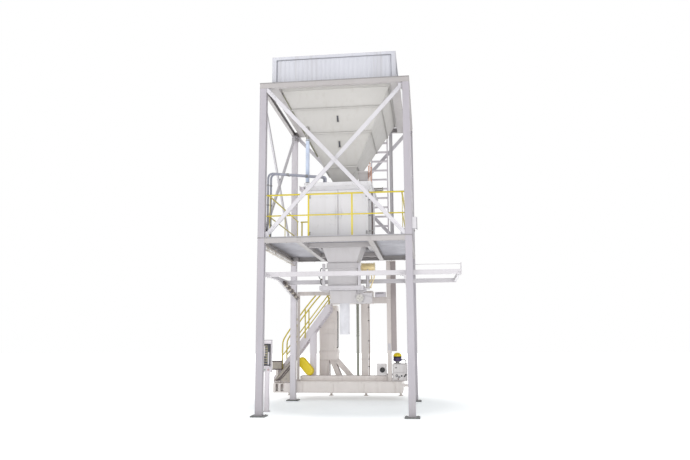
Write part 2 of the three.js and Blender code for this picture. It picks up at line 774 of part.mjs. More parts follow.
// Guard rail between two points of the deck: two tubes, a toe board and posts at given shares.
function guard(name, from, to, shares) {
  const up = (p, h) => V(p.x, p.y, PLATFORM_TOP + h);
  const at = (t) => new THREE.Vector3().lerpVectors(from, to, t);
  const side = new THREE.Vector3().subVectors(to, from).normalize();
  const tubes = [GUARD_HEIGHT, MID_RAIL].map((h) => rod(up(from, h), up(to, h), RAIL_TUBE, 8));
  const posts = shares.map((t) =>
    bar(up(at(t), 2), up(at(t), GUARD_HEIGHT), 60, 16, side),
  );
  node(name, join(tubes, posts), "yellow");
}

const GUARD_Y = TOWER_DEPTH / 2 - 165;
const GUARD_X = TOWER_WIDTH / 2 - 225;
const GUARD_RUN = GUARD_Y - 60;
guard("guard_front", V(-1680, -GUARD_Y, 0), V(1680, -GUARD_Y, 0), [0.31, 0.625]);
guard("guard_left", V(-GUARD_X, -GUARD_RUN, 0), V(-GUARD_X, GUARD_RUN, 0), [0.02, 0.5, 0.98]);
guard("guard_back", V(-1560, GUARD_Y, 0), V(540, GUARD_Y, 0), [0.02, 0.5, 0.98]);
guard("guard_right", V(GUARD_X, -GUARD_RUN, 0), V(GUARD_X, GUARD_RUN, 0), [0.02, 0.5, 0.98]);

const KNEE_FRONT = -500;

function trackFrame() {
  const z0 = TRACK_Z;
  const z1 = TRACK_Z + TRACK_HEIGHT;
  const yFront = -INNER_Y;
  const yRear = 520;
  const left = -INNER_X + 4;
  const front = box(left, TRACK_END, yFront, yFront + 70, z0, z1);
  const rear = box(left, TRACK_END - 20, yRear - 70, yRear, z0, z1);
  const end = box(TRACK_END - 90, TRACK_END - 20, yFront + 5, yRear - 5, z0 + 10, z1 - 10);
  const ties = [left, INNER_X - 75].map((x) =>
    box(x, x + 70, yFront + 5, yRear - 5, z0 + 10, z1 - 10),
  );
  const mast = box(TRACK_END - 30, TRACK_END, yFront, yFront + 30, z1 - 5, 3510);
  const wire = rod(V(INNER_X + 60, yFront + 15, 3480), V(TRACK_END - 5, yFront + 15, 3480), 8, 6);
  const stub = box(INNER_X + 60, INNER_X + 90, yFront, yFront + 30, z1 - 5, 3500);
  const knees = [left + 35, INNER_X - 40].map((x) =>
    bar(V(x, KNEE_FRONT, z0 + 50), V(x, INNER_Y - 12, 2890), 60, 110, V(1, 0, 0)),
  );
  return join(front, rear, end, ties, mast, wire, stub, knees);
}

node("track_frame", trackFrame(), "white");

function junctionBox() {
  const x = TOWER_WIDTH / 2 + GAP;
  const body = box(x, x + 110, -2050, -1930, 4320, 4590);
  const gland = rod(V(x + 55, -1990, 4280), V(x + 55, -1990, 4321), 16, 10);
  return body.add(gland);
}

node("junction_box", junctionBox(), "dark");

// ---------------------------------------------------------------- operator stand

const PANEL = { x0: -1945, x1: -1727, y0: -1040, y1: -880, z0: 955, z1: 1740 };
const PANEL_DOOR_BOTTOM = 1080;
const BUTTON_Z = 1018;
const BUTTON_SPREAD = 45;

function controlStand() {
  const x = (PANEL.x0 + PANEL.x1) / 2;
  const y = (PANEL.y0 + PANEL.y1) / 2;
  const foot = box(x - 80, x + 80, y - 78, y + 78, 0, 20);
  const pole = box(x - 56, x + 56, y - 50, y + 50, 19, PANEL.z0 + 1);
  const body = box(PANEL.x0, PANEL.x1, PANEL.y0 + 30, PANEL.y1, PANEL.z0, PANEL.z1);
  const { x0, x1, y0, y1, z1 } = PANEL;
  const hollow = box(x0 + 12, x1 - 12, y0 + 29, y1 - 20, PANEL_DOOR_BOTTOM + 10, z1 - 12);
  const bores = [-BUTTON_SPREAD, BUTTON_SPREAD].map((dx) =>
    rod(V(x + dx, y0 + 29, BUTTON_Z), V(x + dx, y0 + 62, BUTTON_Z), 13, 16),
  );
  return [hollow, ...bores].reduce((a, b) => a.subtract(b), join(foot, pole, body));
}

node("control_stand", controlStand(), "lavender");

function panelDoor() {
  const y = PANEL.y0 + 30 - GAP * 2;
  const leaf = box(PANEL.x0 + 2, PANEL.x1 - 2, y - 16, y, PANEL_DOOR_BOTTOM, PANEL.z1 - 2);
  const frame = box(PANEL.x0 + 14, PANEL.x1 - 8, y - 26, y - 15, 1115, 1650);
  const window = box(PANEL.x0 + 32, PANEL.x1 - 26, y - 27, y - 17, 1137, 1628);
  const hinge = rod(V(PANEL.x0 + 6, y - 18, 1180), V(PANEL.x0 + 6, y - 18, 1650), 6, 8);
  return join(leaf, frame.subtract(window), hinge);
}

node("panel_door", panelDoor(), "lavender");

function pushButton(name, dx, radius, look) {
  const x = (PANEL.x0 + PANEL.x1) / 2 + dx;
  const y = PANEL.y0 + 30;
  const head = rod(V(x, y - 36, BUTTON_Z), V(x, y - 14, BUTTON_Z), radius, 20);
  const stem = rod(V(x, y - 16, BUTTON_Z), V(x, y + 16, BUTTON_Z), 11, 14);
  node(name, head.add(stem), look);
}

pushButton("emergency_stop", BUTTON_SPREAD, 24, "red");
pushButton("start_button", -BUTTON_SPREAD, 18, "green");

// ---------------------------------------------------------------- lower machine

function skid() {
  const { x0, x1, y0, y1, z0, z1 } = SKID;
  const block = box(x0, x1, y0, y1, z0, z1);
  const under = box(-1600, x1 - 100, y0 + 200, y1 - 200, z0 - 1, z1 - 30);
  const bay = box(x0 + 90, -1790, y0 + 330, y1 - 200, z0 - 1, z1 - 30);
  const shallow = box(x0 - 1, -1690, y0 - 1, y1 + 1, 490, z1 + 1);
  const slots = [[-2310, -2240], [-2160, -2070]].map(([a, b]) =>
    box(a, b, y0 - 1, y0 + 331, 262, 470),
  );
  const feet = [-2250, -900, 200, 1290].flatMap((x) => [
    rod(V(x, y1 - 110, 18), V(x, y1 - 110, z0 + 1), 35, 14),
    rod(V(x, y1 - 110, 0), V(x, y1 - 110, 20), 75, 18),
  ]);
  const tier = box(-1620, 968, y0 + 220, y0 + 640, z1 - 1, TIER_TOP);
  const bracket = box(x1 - 5, TOWER_WIDTH / 2 - 10, y0, y0 + 110, 400, 470);
  return [under, bay, shallow, ...slots]
    .reduce((a, b) => a.subtract(b), block)
    .add(join(feet, tier, bracket));
}

node("skid", skid(), "machine");

const FRAME_Y = SKID.y0 + 60;

function portal() {
  const y0 = FRAME_Y;
  const hanger = box(985, 1105, y0, y0 + 120, SKID.z1 + GAP, BEAM_BOTTOM - 1);
  const duct = box(1104, 1260, y0 + 20, y0 + 100, 1400, BEAM_BOTTOM - 1);
  const rightBeam = box(560, 986, y0 + 10, y0 + 110, 2795, 2975);
  const body = box(-700, 565, y0 + 15 + GAP, y0 + 600, 2800, 3165);
  const leftBeam = box(-1640, -699, y0 + 10, y0 + 110, 3050, 3160);
  const cubicle = box(640, 960, y0 + 15, y0 + 105, 2970, 3125);
  const post = box(192, 388, y0 + 350, y0 + 550, TIER_TOP + GAP, 2801);
  const band = box(182, 398, y0 + 340, y0 + 560, 1150, 1180);
  const leftPost = box(-1690, -1625, y0 + 12, y0 + 108, SKID.z1 + GAP, 3155);
  return join(hanger, duct, rightBeam, body, leftBeam, cubicle, post, band, leftPost);
}

node("portal_frame", portal(), "machine");

// Pedestal: a tapered column with a collar, a plumb leg and two raking legs on the skid's tier.
function pedestal() {
  const y0 = 3120;
  const y1 = 3560;
  const base = SKID.z1 + GAP;
  const upper = [
    [-1160, 1400],
    [-640, 1400],
    [-625, 2500],
    [-640, 2790],
    [-1010, 2790],
    [-1185, 2300],
  ];
  const column = plateXZ(upper, y0, y1);
  const collar = box(-1175, -615, y0 - 25, y1 + 25, 1110, 1401);
  const plumb = box(-1180, -880, y0, y1, base, 1111);
  const y = (y0 + y1) / 2;
  const rake = (a, b, width) => bar(V(a, y, 1140), V(b, y, base - 60), width, 330, V(1, 0, 0));
  const floor = box(-1300, 200, y0 - 100, y1 + 100, base - 400, base);
  const legs = [rake(-800, -520, 150), rake(-680, -95, 130)].map((leg) => leg.subtract(floor));
  const shoe = box(-1190, 60, y0 + 20, y1 - 20, base, base + 25);
  return join(column, collar, plumb, legs, shoe);
}

node("pedestal", pedestal(), "machine");

const STAIR_RISE = STAIR.z1 - STAIR.z0;
const STAIR_RUN = STAIR.head - STAIR.foot;
const STAIR_SLOPE = Math.atan2(STAIR_RISE, STAIR_RUN);

// A point on the stair's pitch line: x along the run, lifted plumb by "lift".
function onStair(x, y, lift = 0) {
  return V(x, y, STAIR.z0 + ((x - STAIR.foot) * STAIR_RISE) / STAIR_RUN + lift);
}

function stair() {
  const { foot, head, y0, y1 } = STAIR;
  const depth = 190;
  const slant = depth / Math.cos(STAIR_SLOPE) / 2;
  const outline = [
    [foot - 60, onStair(foot - 60, 0, -slant).z],
    [head, onStair(head, 0, -slant).z],
    [head, onStair(head, 0, slant).z],
    [foot - 60, onStair(foot - 60, 0, slant).z],
  ];
  const keep = box(-3000, 0, 0, 5000, 491, 2990);
  const stringers = [y0, y1 - 14].map((y) => plateXZ(outline, y, y + 14).intersect(keep));
  const treads = [];
  const count = 10;
  for (let i = 0; i < count; i++) {
    const p = onStair(foot + 60 + (i * (STAIR_RUN - 60)) / count, 0);
    treads.push(box(p.x - 105, p.x + 105, y0 + 10, y1 - 10, p.z - 14, p.z + 14));
  }
  const leg = box(-1355, -1175, y0 + 5, y0 + 150, TIER_TOP + GAP, 1960);
  const top = box(head - 110, head - 10, y0 + 5, y1 - 5, 2725, 2755);
  return join(stringers, treads, leg, top);
}

node("stair", stair(), "lavender");

// Hand rail of one side of the stair, with a mid rail and two posts.
function stairRail(name, y) {
  const tube = 21;
  const low = STAIR.foot + 215;
  const high = STAIR.head - 430;
  const lift = 890;
  const top = onStair(high, y, lift).z;
  const handrail = pipe(
    [
      onStair(low, y, 30),
      onStair(low, y, 700),
      onStair(low + 10, y, 830),
      onStair(low + 90, y, lift),
      onStair(high - 60, y, lift),
      V(high + 110, y, top + 70),
      V(high + 330, y, top + 20),
      V(high + 395, y, top - 120),
      V(high + 400, y, STAIR.z1 + 30),
    ],
    tube,
    8,
    40,
  );
  const mid = rod(onStair(low, y, 430), onStair(high + 390, y, 380), tube * 0.8, 8);
  const posts = [0.33, 0.68].map((t) => {
    const x = low + t * (high - low);
    return rod(onStair(x, y, 30), onStair(x, y, lift), tube * 0.9, 8);
  });
  node(name, join(handrail, mid, posts), "yellow");
}

stairRail("stair_rail_near", STAIR.y0 - 24);
stairRail("stair_rail_far", STAIR.y1 + 24);

function driveGuard() {
  const a = { x: -1570, z: 1085 };
  const b = { x: -1368, z: 845 };
  const r = 150;
  const along = Math.atan2(b.z - a.z, b.x - a.x);
  const outline = [];
  for (const [c, start] of [[a, along + Math.PI / 2], [b, along - Math.PI / 2]]) {
    for (let i = 0; i <= 8; i++) {
      const t = start + (i / 8) * Math.PI;
      outline.push([c.x + r * Math.cos(t), c.z + r * Math.sin(t)]);
    }
  }
  const cover = plateXZ(outline, 2290, 2400);
  const stand = box(-1480, -1400, 2300, 2380, TIER_TOP + GAP, 760);
  return cover.add(stand);
}

node("drive_guard", driveGuard(), "guard");

const WHEEL = { x: 833, z: 868 };

// Gear motor, control box and valve head at the right end of the skid.
function gearUnit() {
  const y0 = SKID.y0 + 10;
  const z0 = SKID.z1 + GAP;
  const controls = box(650, 955, y0 + 60, y0 + 190, 712, 1052);
  const shelf = box(700, 1180, y0 + 175, y0 + 215, TIER_TOP + 30, TIER_TOP + 70);
  const gearbox = box(1130, 1380, y0 + 130, y0 + 470, z0, 1040);
  const motor = rod(V(1375, y0 + 300, 900), V(1560, y0 + 300, 900), 125, 20);
  const body = rod(V(1262, y0 + 250, 1035), V(1262, y0 + 250, 1200), 112, 20);
  const outline = [[0, 0]];
  outline.push([125, 0]);
  for (let i = 0; i <= 5; i++) {
    const a = (i / 5) * (Math.PI / 2);
    outline.push([125 * Math.cos(a), 50 + 110 * Math.sin(a)]);
  }
  const profile = outline.map(([r, h]) => new THREE.Vector2(Math.max(r, 0), h));
  const dome = new THREE.LatheGeometry(profile, 20).rotateX(Math.PI / 2);
  const cap = solid(dome.translate(1262, y0 + 250, 1199));
  const bore = rod(V(WHEEL.x, y0 + 59, WHEEL.z), V(WHEEL.x, y0 + 92, WHEEL.z), 14, 16);
  return join(controls, shelf, gearbox, motor, body, cap).subtract(bore);
}

node("gear_unit", gearUnit(), "lavender");

function handwheel() {
  const y = SKID.y0 + 70;
  const outline = [
    [0, 0],
    [12, 0],
    [12, 30],
    [42, 34],
    [75, 34],
    [75, 62],
    [42, 66],
    [0, 66],
  ].map(([r, h]) => new THREE.Vector2(r, h));
  const wheel = new THREE.LatheGeometry(outline, 20).rotateX(Math.PI);
  const pointer = box(WHEEL.x - 8, WHEEL.x + 8, y - 74, y - 20, WHEEL.z + 32, WHEEL.z + 70);
  return solid(wheel.translate(WHEEL.x, y + 28, WHEEL.z)).add(pointer);
}

node("handwheel", handwheel(), "dark");

// Grooved wheel on the end plate of the filling head, with four lightening holes.
function sheave() {
  const outline = [
    [0, 0],
    [95, 0],
    [95, 6],
    [72, 16],
    [95, 26],
    [95, 32],
    [0, 32],
  ].map(([r, h]) => new THREE.Vector2(r, h));
  const wheel = new THREE.LatheGeometry(outline, 24).rotateX(Math.PI);
  const made = solid(wheel.translate(SHEAVE.x, HEAD_FRONT - 44, SHEAVE.z));
  const holes = [0, 1, 2, 3].map((i) => {
    const a = (i * Math.PI) / 2;
    const x = SHEAVE.x + 48 * Math.cos(a);
    const z = SHEAVE.z + 48 * Math.sin(a);
    return rod(V(x, HEAD_FRONT - 80, z), V(x, HEAD_FRONT - 40, z), 14, 10);
  });
  return holes.reduce((a, b) => a.subtract(b), made);
}

node("sheave", sheave(), "steel");

// Energy chain that hangs from the frame's head to the tier.
function cableChain() {
  const x = 98;
  const y = SKID.y0 + 300;
  const top = 2799;
  const core = box(x - 30, x + 30, y - 14, y + 14, TIER_TOP + GAP, top);
  const links = [];
  for (let z = TIER_TOP + 40; z < top - 40; z += 90) {
    links.push(box(x - 42, x + 42, y - 22, y + 22, z, z + 56));
  }
  return join(core, links);
}

node("cable_chain", cableChain(), "dark");

function motorBox() {
  const body = box(-2470, -2170, 2250, 2385, 775, 1130);
  const stand = box(-2360, -2280, 2280, 2350, 490 + GAP, 776);
  return body.add(stand);
}

node("motor_box", motorBox(), "dark");

// ---------------------------------------------------------------- frame

const bounds = new THREE.Box3().setFromObject(tower);
const centre = bounds.getCenter(new THREE.Vector3());
tower.position.set(-centre.x, -centre.y, -bounds.min.z);
tower.updateMatrixWorld(true);

export default tower;
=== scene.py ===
"""Looks of a bulk filling tower with a packing station under it. Metres, +Z up, front towards -Y.

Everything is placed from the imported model's own boxes, or from the tower's centre line, which is found from
its four columns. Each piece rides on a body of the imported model.
"""

import json
import math

import bmesh
import bpy
from mathutils import Matrix, Vector


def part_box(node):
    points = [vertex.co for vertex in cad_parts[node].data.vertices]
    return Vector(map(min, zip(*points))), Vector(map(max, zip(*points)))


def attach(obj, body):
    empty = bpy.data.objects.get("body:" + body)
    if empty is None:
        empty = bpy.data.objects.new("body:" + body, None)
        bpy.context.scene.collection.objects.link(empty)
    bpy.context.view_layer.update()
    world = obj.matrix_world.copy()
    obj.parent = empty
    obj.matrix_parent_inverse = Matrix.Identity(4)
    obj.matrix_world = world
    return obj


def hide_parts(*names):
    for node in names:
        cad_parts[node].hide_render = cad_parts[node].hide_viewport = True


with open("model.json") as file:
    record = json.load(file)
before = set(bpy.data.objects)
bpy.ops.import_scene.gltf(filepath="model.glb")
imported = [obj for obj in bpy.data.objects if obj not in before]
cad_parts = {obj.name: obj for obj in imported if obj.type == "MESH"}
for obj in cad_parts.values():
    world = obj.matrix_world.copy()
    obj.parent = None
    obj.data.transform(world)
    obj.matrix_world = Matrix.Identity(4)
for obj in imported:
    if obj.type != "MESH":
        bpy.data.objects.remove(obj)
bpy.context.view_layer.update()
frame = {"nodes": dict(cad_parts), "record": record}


def V(x, y, z):
    return Vector((x, y, z))


TOWER = "tower"
UP = V(0, 0, 1)
RIGHT, LEFT = V(1, 0, 0), V(-1, 0, 0)
BACK, FRONT = V(0, 1, 0), V(0, -1, 0)
BOTH = (-1, 1)
FRONT_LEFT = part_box("column_front_left")
BACK_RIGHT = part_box("column_back_right")
AXIS = (FRONT_LEFT[0] + BACK_RIGHT[1]) / 2


def at(x, y, z):
    """A point given from the tower's centre line, in the model's frame."""
    return V(AXIS.x + x, AXIS.y + y, z)


def at_x(x):
    return at(x, 0, 0).x


def at_y(y):
    return at(0, y, 0).y


def spread(first, last, count):
    """Evenly spaced values, both ends included."""
    return [first + k * (last - first) / (count - 1) for k in range(count)]


# ------------------------------------------------------------------ camera

EYE = at(2.126, -17.334, 1.782)
YAW = 0.121
PITCH = 0.163
ROLL = -0.005
LENS = 34.32  # millimetres, on a 36 mm sensor


def make_camera():
    """The camera at EYE, turned by YAW, PITCH and ROLL."""
    ahead = V(-math.sin(YAW) * math.cos(PITCH), math.cos(YAW) * math.cos(PITCH), math.sin(PITCH))
    right = V(math.cos(YAW), math.sin(YAW), 0)
    up = right.cross(ahead)
    right_rolled = right * math.cos(ROLL) + up * math.sin(ROLL)
    up_rolled = up * math.cos(ROLL) - right * math.sin(ROLL)
    data = bpy.data.cameras.new("camera")
    data.lens = LENS
    data.sensor_width = 36
    data.clip_end = 200
    camera = bpy.data.objects.new("camera", data)
    turn = Matrix((right_rolled, up_rolled, -ahead)).transposed()
    camera.matrix_world = Matrix.Translation(EYE) @ turn.to_4x4()
    bpy.context.scene.collection.objects.link(camera)
    bpy.context.scene.camera = camera


make_camera()

# ------------------------------------------------------------------ materials


class Shader:
    """A node material: adds nodes and links them, with plain numbers set on the sockets."""

    def __init__(self, name):
        self.material = bpy.data.materials.new(name)
        self.material.use_nodes = True
        self.tree = self.material.node_tree
        self.tree.nodes.clear()
        self.output = self.tree.nodes.new("ShaderNodeOutputMaterial")
        self.surface = self.tree.nodes.new("ShaderNodeBsdfPrincipled")
        self.tree.links.new(self.surface.outputs[0], self.output.inputs["Surface"])
        self.place = self.tree.nodes.new("ShaderNodeTexCoord").outputs["Object"]

    def node(self, kind, inputs=None, **settings):
        made = self.tree.nodes.new(kind)
        for key, value in settings.items():
            setattr(made, key, value)
        for key, value in (inputs or {}).items():
            self.set(made.inputs[key], value)
        return made

    def set(self, socket, value):
        if isinstance(value, bpy.types.NodeSocket):
            self.tree.links.new(value, socket)
        else:
            socket.default_value = value

    def scaled(self, x, y, z):
        mapping = self.node("ShaderNodeMapping", {"Vector": self.place})
        mapping.inputs["Scale"].default_value = (x, y, z)
        return mapping.outputs[0]

    def noise(self, scale, detail=4, vector=None, rough=0.55):
        inputs = {"Vector": vector or self.place, "Scale": scale, "Detail": detail, "Roughness": rough}
        return self.node("ShaderNodeTexNoise", inputs).outputs["Fac"]

    def wave(self, scale, vector, distortion=0.0, profile="SIN"):
        inputs = {"Vector": vector, "Scale": scale, "Distortion": distortion}
        return self.node("ShaderNodeTexWave", inputs, wave_profile=profile).outputs["Fac"]

    def between(self, value, low, high, to_low=0.0, to_high=1.0):
        inputs = {"Value": value, "From Min": low, "From Max": high, "To Min": to_low, "To Max": to_high}
        return self.node("ShaderNodeMapRange", inputs).outputs[0]

    def math(self, operation, a, b=0.0):
        made = self.node("ShaderNodeMath", {0: a, 1: b}, operation=operation)
        return made.outputs[0]

    def mix(self, share, a, b):
        made = self.node("ShaderNodeMix", data_type="RGBA")
        self.set(made.inputs[0], share)
        self.set(made.inputs[6], a)
        self.set(made.inputs[7], b)
        return made.outputs[2]

    def part_of(self, axis):
        split = self.node("ShaderNodeSeparateXYZ", {0: self.place})
        return split.outputs[axis]

    def bump(self, height, distance, strength=1.0, normal=None):
        inputs = {"Height": height, "Distance": distance, "Strength": strength}
        if normal is not None:
            inputs["Normal"] = normal
        return self.node("ShaderNodeBump", inputs).outputs[0]

    def finish(self, colour, roughness, normal=None, metallic=0.0, coat=0.0, specular=0.5):
        self.set(self.surface.inputs["Base Color"], colour)
        self.set(self.surface.inputs["Roughness"], roughness)
        self.set(self.surface.inputs["Metallic"], metallic)
        self.set(self.surface.inputs["Specular IOR Level"], specular)
        self.set(self.surface.inputs["Coat Weight"], coat)
        if normal is not None:
            self.set(self.surface.inputs["Normal"], normal)
        return self.material


def linear(red, green, blue):
    """A display colour of 0 to 255 as the linear colour that the shaders take."""
    parts = [c / 255 for c in (red, green, blue)]
    return tuple(c / 12.92 if c <= 0.04045 else ((c + 0.055) / 1.055) ** 2.4 for c in parts) + (1.0,)


def darker(colour, share):
    return tuple(c * share for c in colour[:3]) + (1.0,)


def paint(name, rgb, rough=0.42, patches=0.08, streaks=0.10, dust=0.25, wear=0.25, peel=0.25, base_plate=False):
    """Sprayed paint on steel: slow patches, rain streaks, dust near the floor and rubbed edges."""
    s = Shader(name)
    base = linear(*rgb)
    patch = s.between(s.noise(0.9, 5), 0.35, 0.68)
    colour = s.mix(patch, darker(base, 1 - patches), base)
    run = s.noise(1.0, 6, s.scaled(9, 9, 0.35))
    run = s.between(run, 0.52, 0.72, 0.0, streaks)
    colour = s.mix(run, colour, darker(linear(150, 138, 120), 0.8))
    low = s.between(s.part_of(2), 0.0, 0.9, dust, 0.0)
    low = s.math("MULTIPLY", low, s.between(s.noise(5, 4), 0.3, 0.7, 0.3, 1.0))
    colour = s.mix(low, colour, linear(148, 140, 130))
    bevel = s.node("ShaderNodeBevel", {"Radius": 0.008}, samples=3)
    true_normal = s.node("ShaderNodeNewGeometry").outputs["Normal"]
    dot = s.node("ShaderNodeVectorMath", {0: bevel.outputs[0], 1: true_normal}, operation="DOT_PRODUCT")
    edge = s.between(dot.outputs["Value"], 0.80, 0.985, wear, 0.0)
    edge = s.math("MULTIPLY", edge, s.between(s.noise(28, 3), 0.42, 0.62))
    colour = s.mix(edge, colour, linear(128, 122, 118))
    if base_plate:
        bare = s.mix(s.between(s.noise(18, 5), 0.35, 0.65), linear(84, 88, 88), linear(118, 120, 118))
        colour = s.mix(s.between(s.part_of(2), 0.029, 0.033, 1.0, 0.0), colour, bare)
    roughness = s.between(s.noise(7, 3), 0.3, 0.7, rough - 0.06, rough + 0.10)
    orange_peel = s.bump(s.noise(260, 2), 0.0006, peel, bevel.outputs[0])
    return s.finish(colour, roughness, orange_peel, coat=0.05)


def brushed(name, rgb, rough=0.33, along=2, metallic=0.85):
    """Metal with fine brush lines along one axis and a few darker handling marks."""
    s = Shader(name)
    base = linear(*rgb)
    scale = [160, 160, 160]
    scale[along] = 4
    lines = s.noise(1.0, 5, s.scaled(*scale))
    marks = s.between(s.noise(2.2, 5), 0.55, 0.75, 0.0, 0.35)
    colour = s.mix(s.between(lines, 0.3, 0.7), darker(base, 0.82), base)
    colour = s.mix(marks, colour, darker(base, 0.6))
    roughness = s.between(lines, 0.3, 0.7, rough - 0.08, rough + 0.12)
    return s.finish(colour, roughness, s.bump(lines, 0.0008, 0.5), metallic=metallic)


def moulded(name, rgb, rough=0.5, grain=240, coat=0.0):
    """Plastic or rubber: a fine grain, slow tone changes and slightly polished patches."""
    s = Shader(name)
    base = linear(*rgb)
    tone = s.between(s.noise(3.5, 5), 0.3, 0.7)
    colour = s.mix(tone, darker(base, 0.82), base)
    roughness = s.between(s.noise(11, 4), 0.3, 0.7, rough - 0.08, rough + 0.12)
    return s.finish(colour, roughness, s.bump(s.noise(grain, 2), 0.0007, 0.5), coat=coat)


def chequer_plate(name, rgb):
    """Deck plate: raised diamonds in two directions over scuffed paint."""
    s = Shader(name)
    base = linear(*rgb)
    turn = s.node("ShaderNodeMapping", {"Vector": s.place})
    turn.inputs["Rotation"].default_value = (0, 0, math.radians(45))
    a = s.wave(9, turn.outputs[0])
    split = s.node("ShaderNodeMapping", {"Vector": s.place})
    split.inputs["Rotation"].default_value = (0, 0, math.radians(-45))
    b = s.wave(9, split.outputs[0])
    diamonds = s.math("MULTIPLY", s.between(a, 0.62, 0.8), s.between(b, 0.62, 0.8))
    scuff = s.between(s.noise(1.6, 7), 0.4, 0.7)
    colour = s.mix(scuff, base, darker(base, 0.78))
    colour = s.mix(s.math("MULTIPLY", diamonds, 0.5), colour, linear(176, 176, 180))
    roughness = s.between(s.noise(9, 4), 0.3, 0.7, 0.42, 0.66)
    return s.finish(colour, roughness, s.bump(diamonds, 0.004, 0.8), metallic=0.2)


LOOKS = {
    "column": paint("column_paint", (172, 168, 175), base_plate=True),
    "beam": paint("beam_paint", (172, 168, 168)),
    "deck": chequer_plate("deck_plate", (186, 186, 194)),
    "brace": paint("brace_paint", (202, 200, 205), wear=0.15),
    "panel": paint("panel_paint", (201, 202, 210), streaks=0.20, dust=0.0),
    "shadow_trim": paint("shadow_trim", (150, 151, 158), dust=0.0),
    "cone": paint("cone_paint", (186, 184, 181), patches=0.06, streaks=0.12, dust=0.0),
    "duct": paint("duct_paint", (192, 189, 191), patches=0.06, streaks=0.10, dust=0.0),
    "cabinet": paint("cabinet_paint", (222, 221, 224), rough=0.30, patches=0.04, streaks=0.05, dust=0.0),
    "steel": brushed("brushed_steel", (176, 174, 170)),
    "zinc": brushed("zinc_plate", (150, 149, 150), rough=0.42),
    "brass": brushed("golden_drum", (242, 224, 176), rough=0.42, along=0, metallic=0.25),
    "white": paint("white_paint", (198, 195, 199), wear=0.15, streaks=0.06),
    "machine": paint("machine_paint", (230, 223, 219), patches=0.10, streaks=0.12, dust=0.18, wear=0.4),
    "lavender": paint("lavender_paint", (216, 211, 217), wear=0.2),
    "brown": paint("tray_paint", (196, 188, 180)),
    "dark": moulded("dark_housing", (74, 74, 82), rough=0.55),
    "black_plastic": moulded("black_plastic", (30, 30, 33), rough=0.42),
    "rubber": moulded("black_rubber", (34, 34, 36), rough=0.7, grain=90),
    "blue": moulded("blue_hose", (208, 218, 236), rough=0.5, grain=60),
    "yellow": paint("safety_yellow", (206, 188, 44), rough=0.36, patches=0.10, streaks=0.08, wear=0.25),
    "guard": paint("guard_yellow", (238, 212, 8), rough=0.36, patches=0.14, streaks=0.12, wear=0.3),
    "red": moulded("red_button", (184, 158, 158), rough=0.4, coat=0.2),
    "green": moulded("green_button", (150, 168, 154), rough=0.4, coat=0.2),
    "violet": moulded("violet_housing", (78, 66, 108), rough=0.45),
    "copper": brushed("copper_tube", (206, 140, 104), rough=0.4, metallic=0.6),
    # olive: the window chart's own colour, and the painted shade of the channel on the cone's left edge
    "olive": paint("olive_chart_and_shade", (120, 120, 104), dust=0.0),
    "pipe_grey": paint("pipe_paint", (150, 152, 165), rough=0.35, dust=0.0),
    "grey_green": brushed("grey_green_tube", (150, 152, 142), rough=0.4, metallic=0.4),
    "sleeve": moulded("tube_plastic", (222, 222, 227), rough=0.6, grain=420),
    "tray_beige": paint("tray_beige", (178, 170, 160)),
    # darker grey of the frames' top-edge strips: painted shade
    "frame_shade_grey": paint("frame_shade_grey", (142, 140, 140)),
    # a lighter copy of the column paint: painted light for the back-left column, which stands brighter lit
    "column_lit_copy": paint("column_lit_copy", (206, 202, 208), base_plate=True),
    "duct_brown": paint("duct_brown", (166, 156, 156)),
    "umber": paint("umber_pipe", (92, 80, 82), rough=0.35),
    "post_brown": paint("post_brown", (140, 118, 108)),
    "pale_box": paint("pale_box", (200, 198, 202)),
    "lower_metal": paint("lower_metal", (216, 208, 204), patches=0.16, streaks=0.2, dust=0.25),
    "speckle": paint("speckled_paint", (226, 222, 222), patches=0.22, streaks=0.2, dust=0.1),
}


def paint_cad():
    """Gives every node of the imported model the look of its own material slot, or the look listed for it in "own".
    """
    slots = {part["node"]: part["material_slot"] for part in frame["record"]["subparts"]}
    own = {
        "discharge_funnel": "duct", "emergency_stop": "red", "start_button": "green", "head_arm": "duct",
        "portal_frame": "lower_metal", "cable_tray": "pale_box", "junction_box": "pale_box",
        # the back-left column takes the lighter copy of the column paint: painted light
        "column_back_left": "column_lit_copy",
    }
    for name, thing in frame["nodes"].items():
        thing.data.materials.clear()
        thing.data.materials.append(LOOKS[own.get(name, slots[name])])
        thing.data.shade_smooth()
        thing.data.set_sharp_from_angle(angle=math.radians(32))


paint_cad()

# ------------------------------------------------------------------ mesh kit


def frame_along(direction, side=None):
    """Three unit axes, the last one along the direction."""
    z = direction.normalized()
    if side is None:
        side = RIGHT if abs(z.x) < 0.9 else BACK
    y = z.cross(side).normalized()
    return y.cross(z), y, z


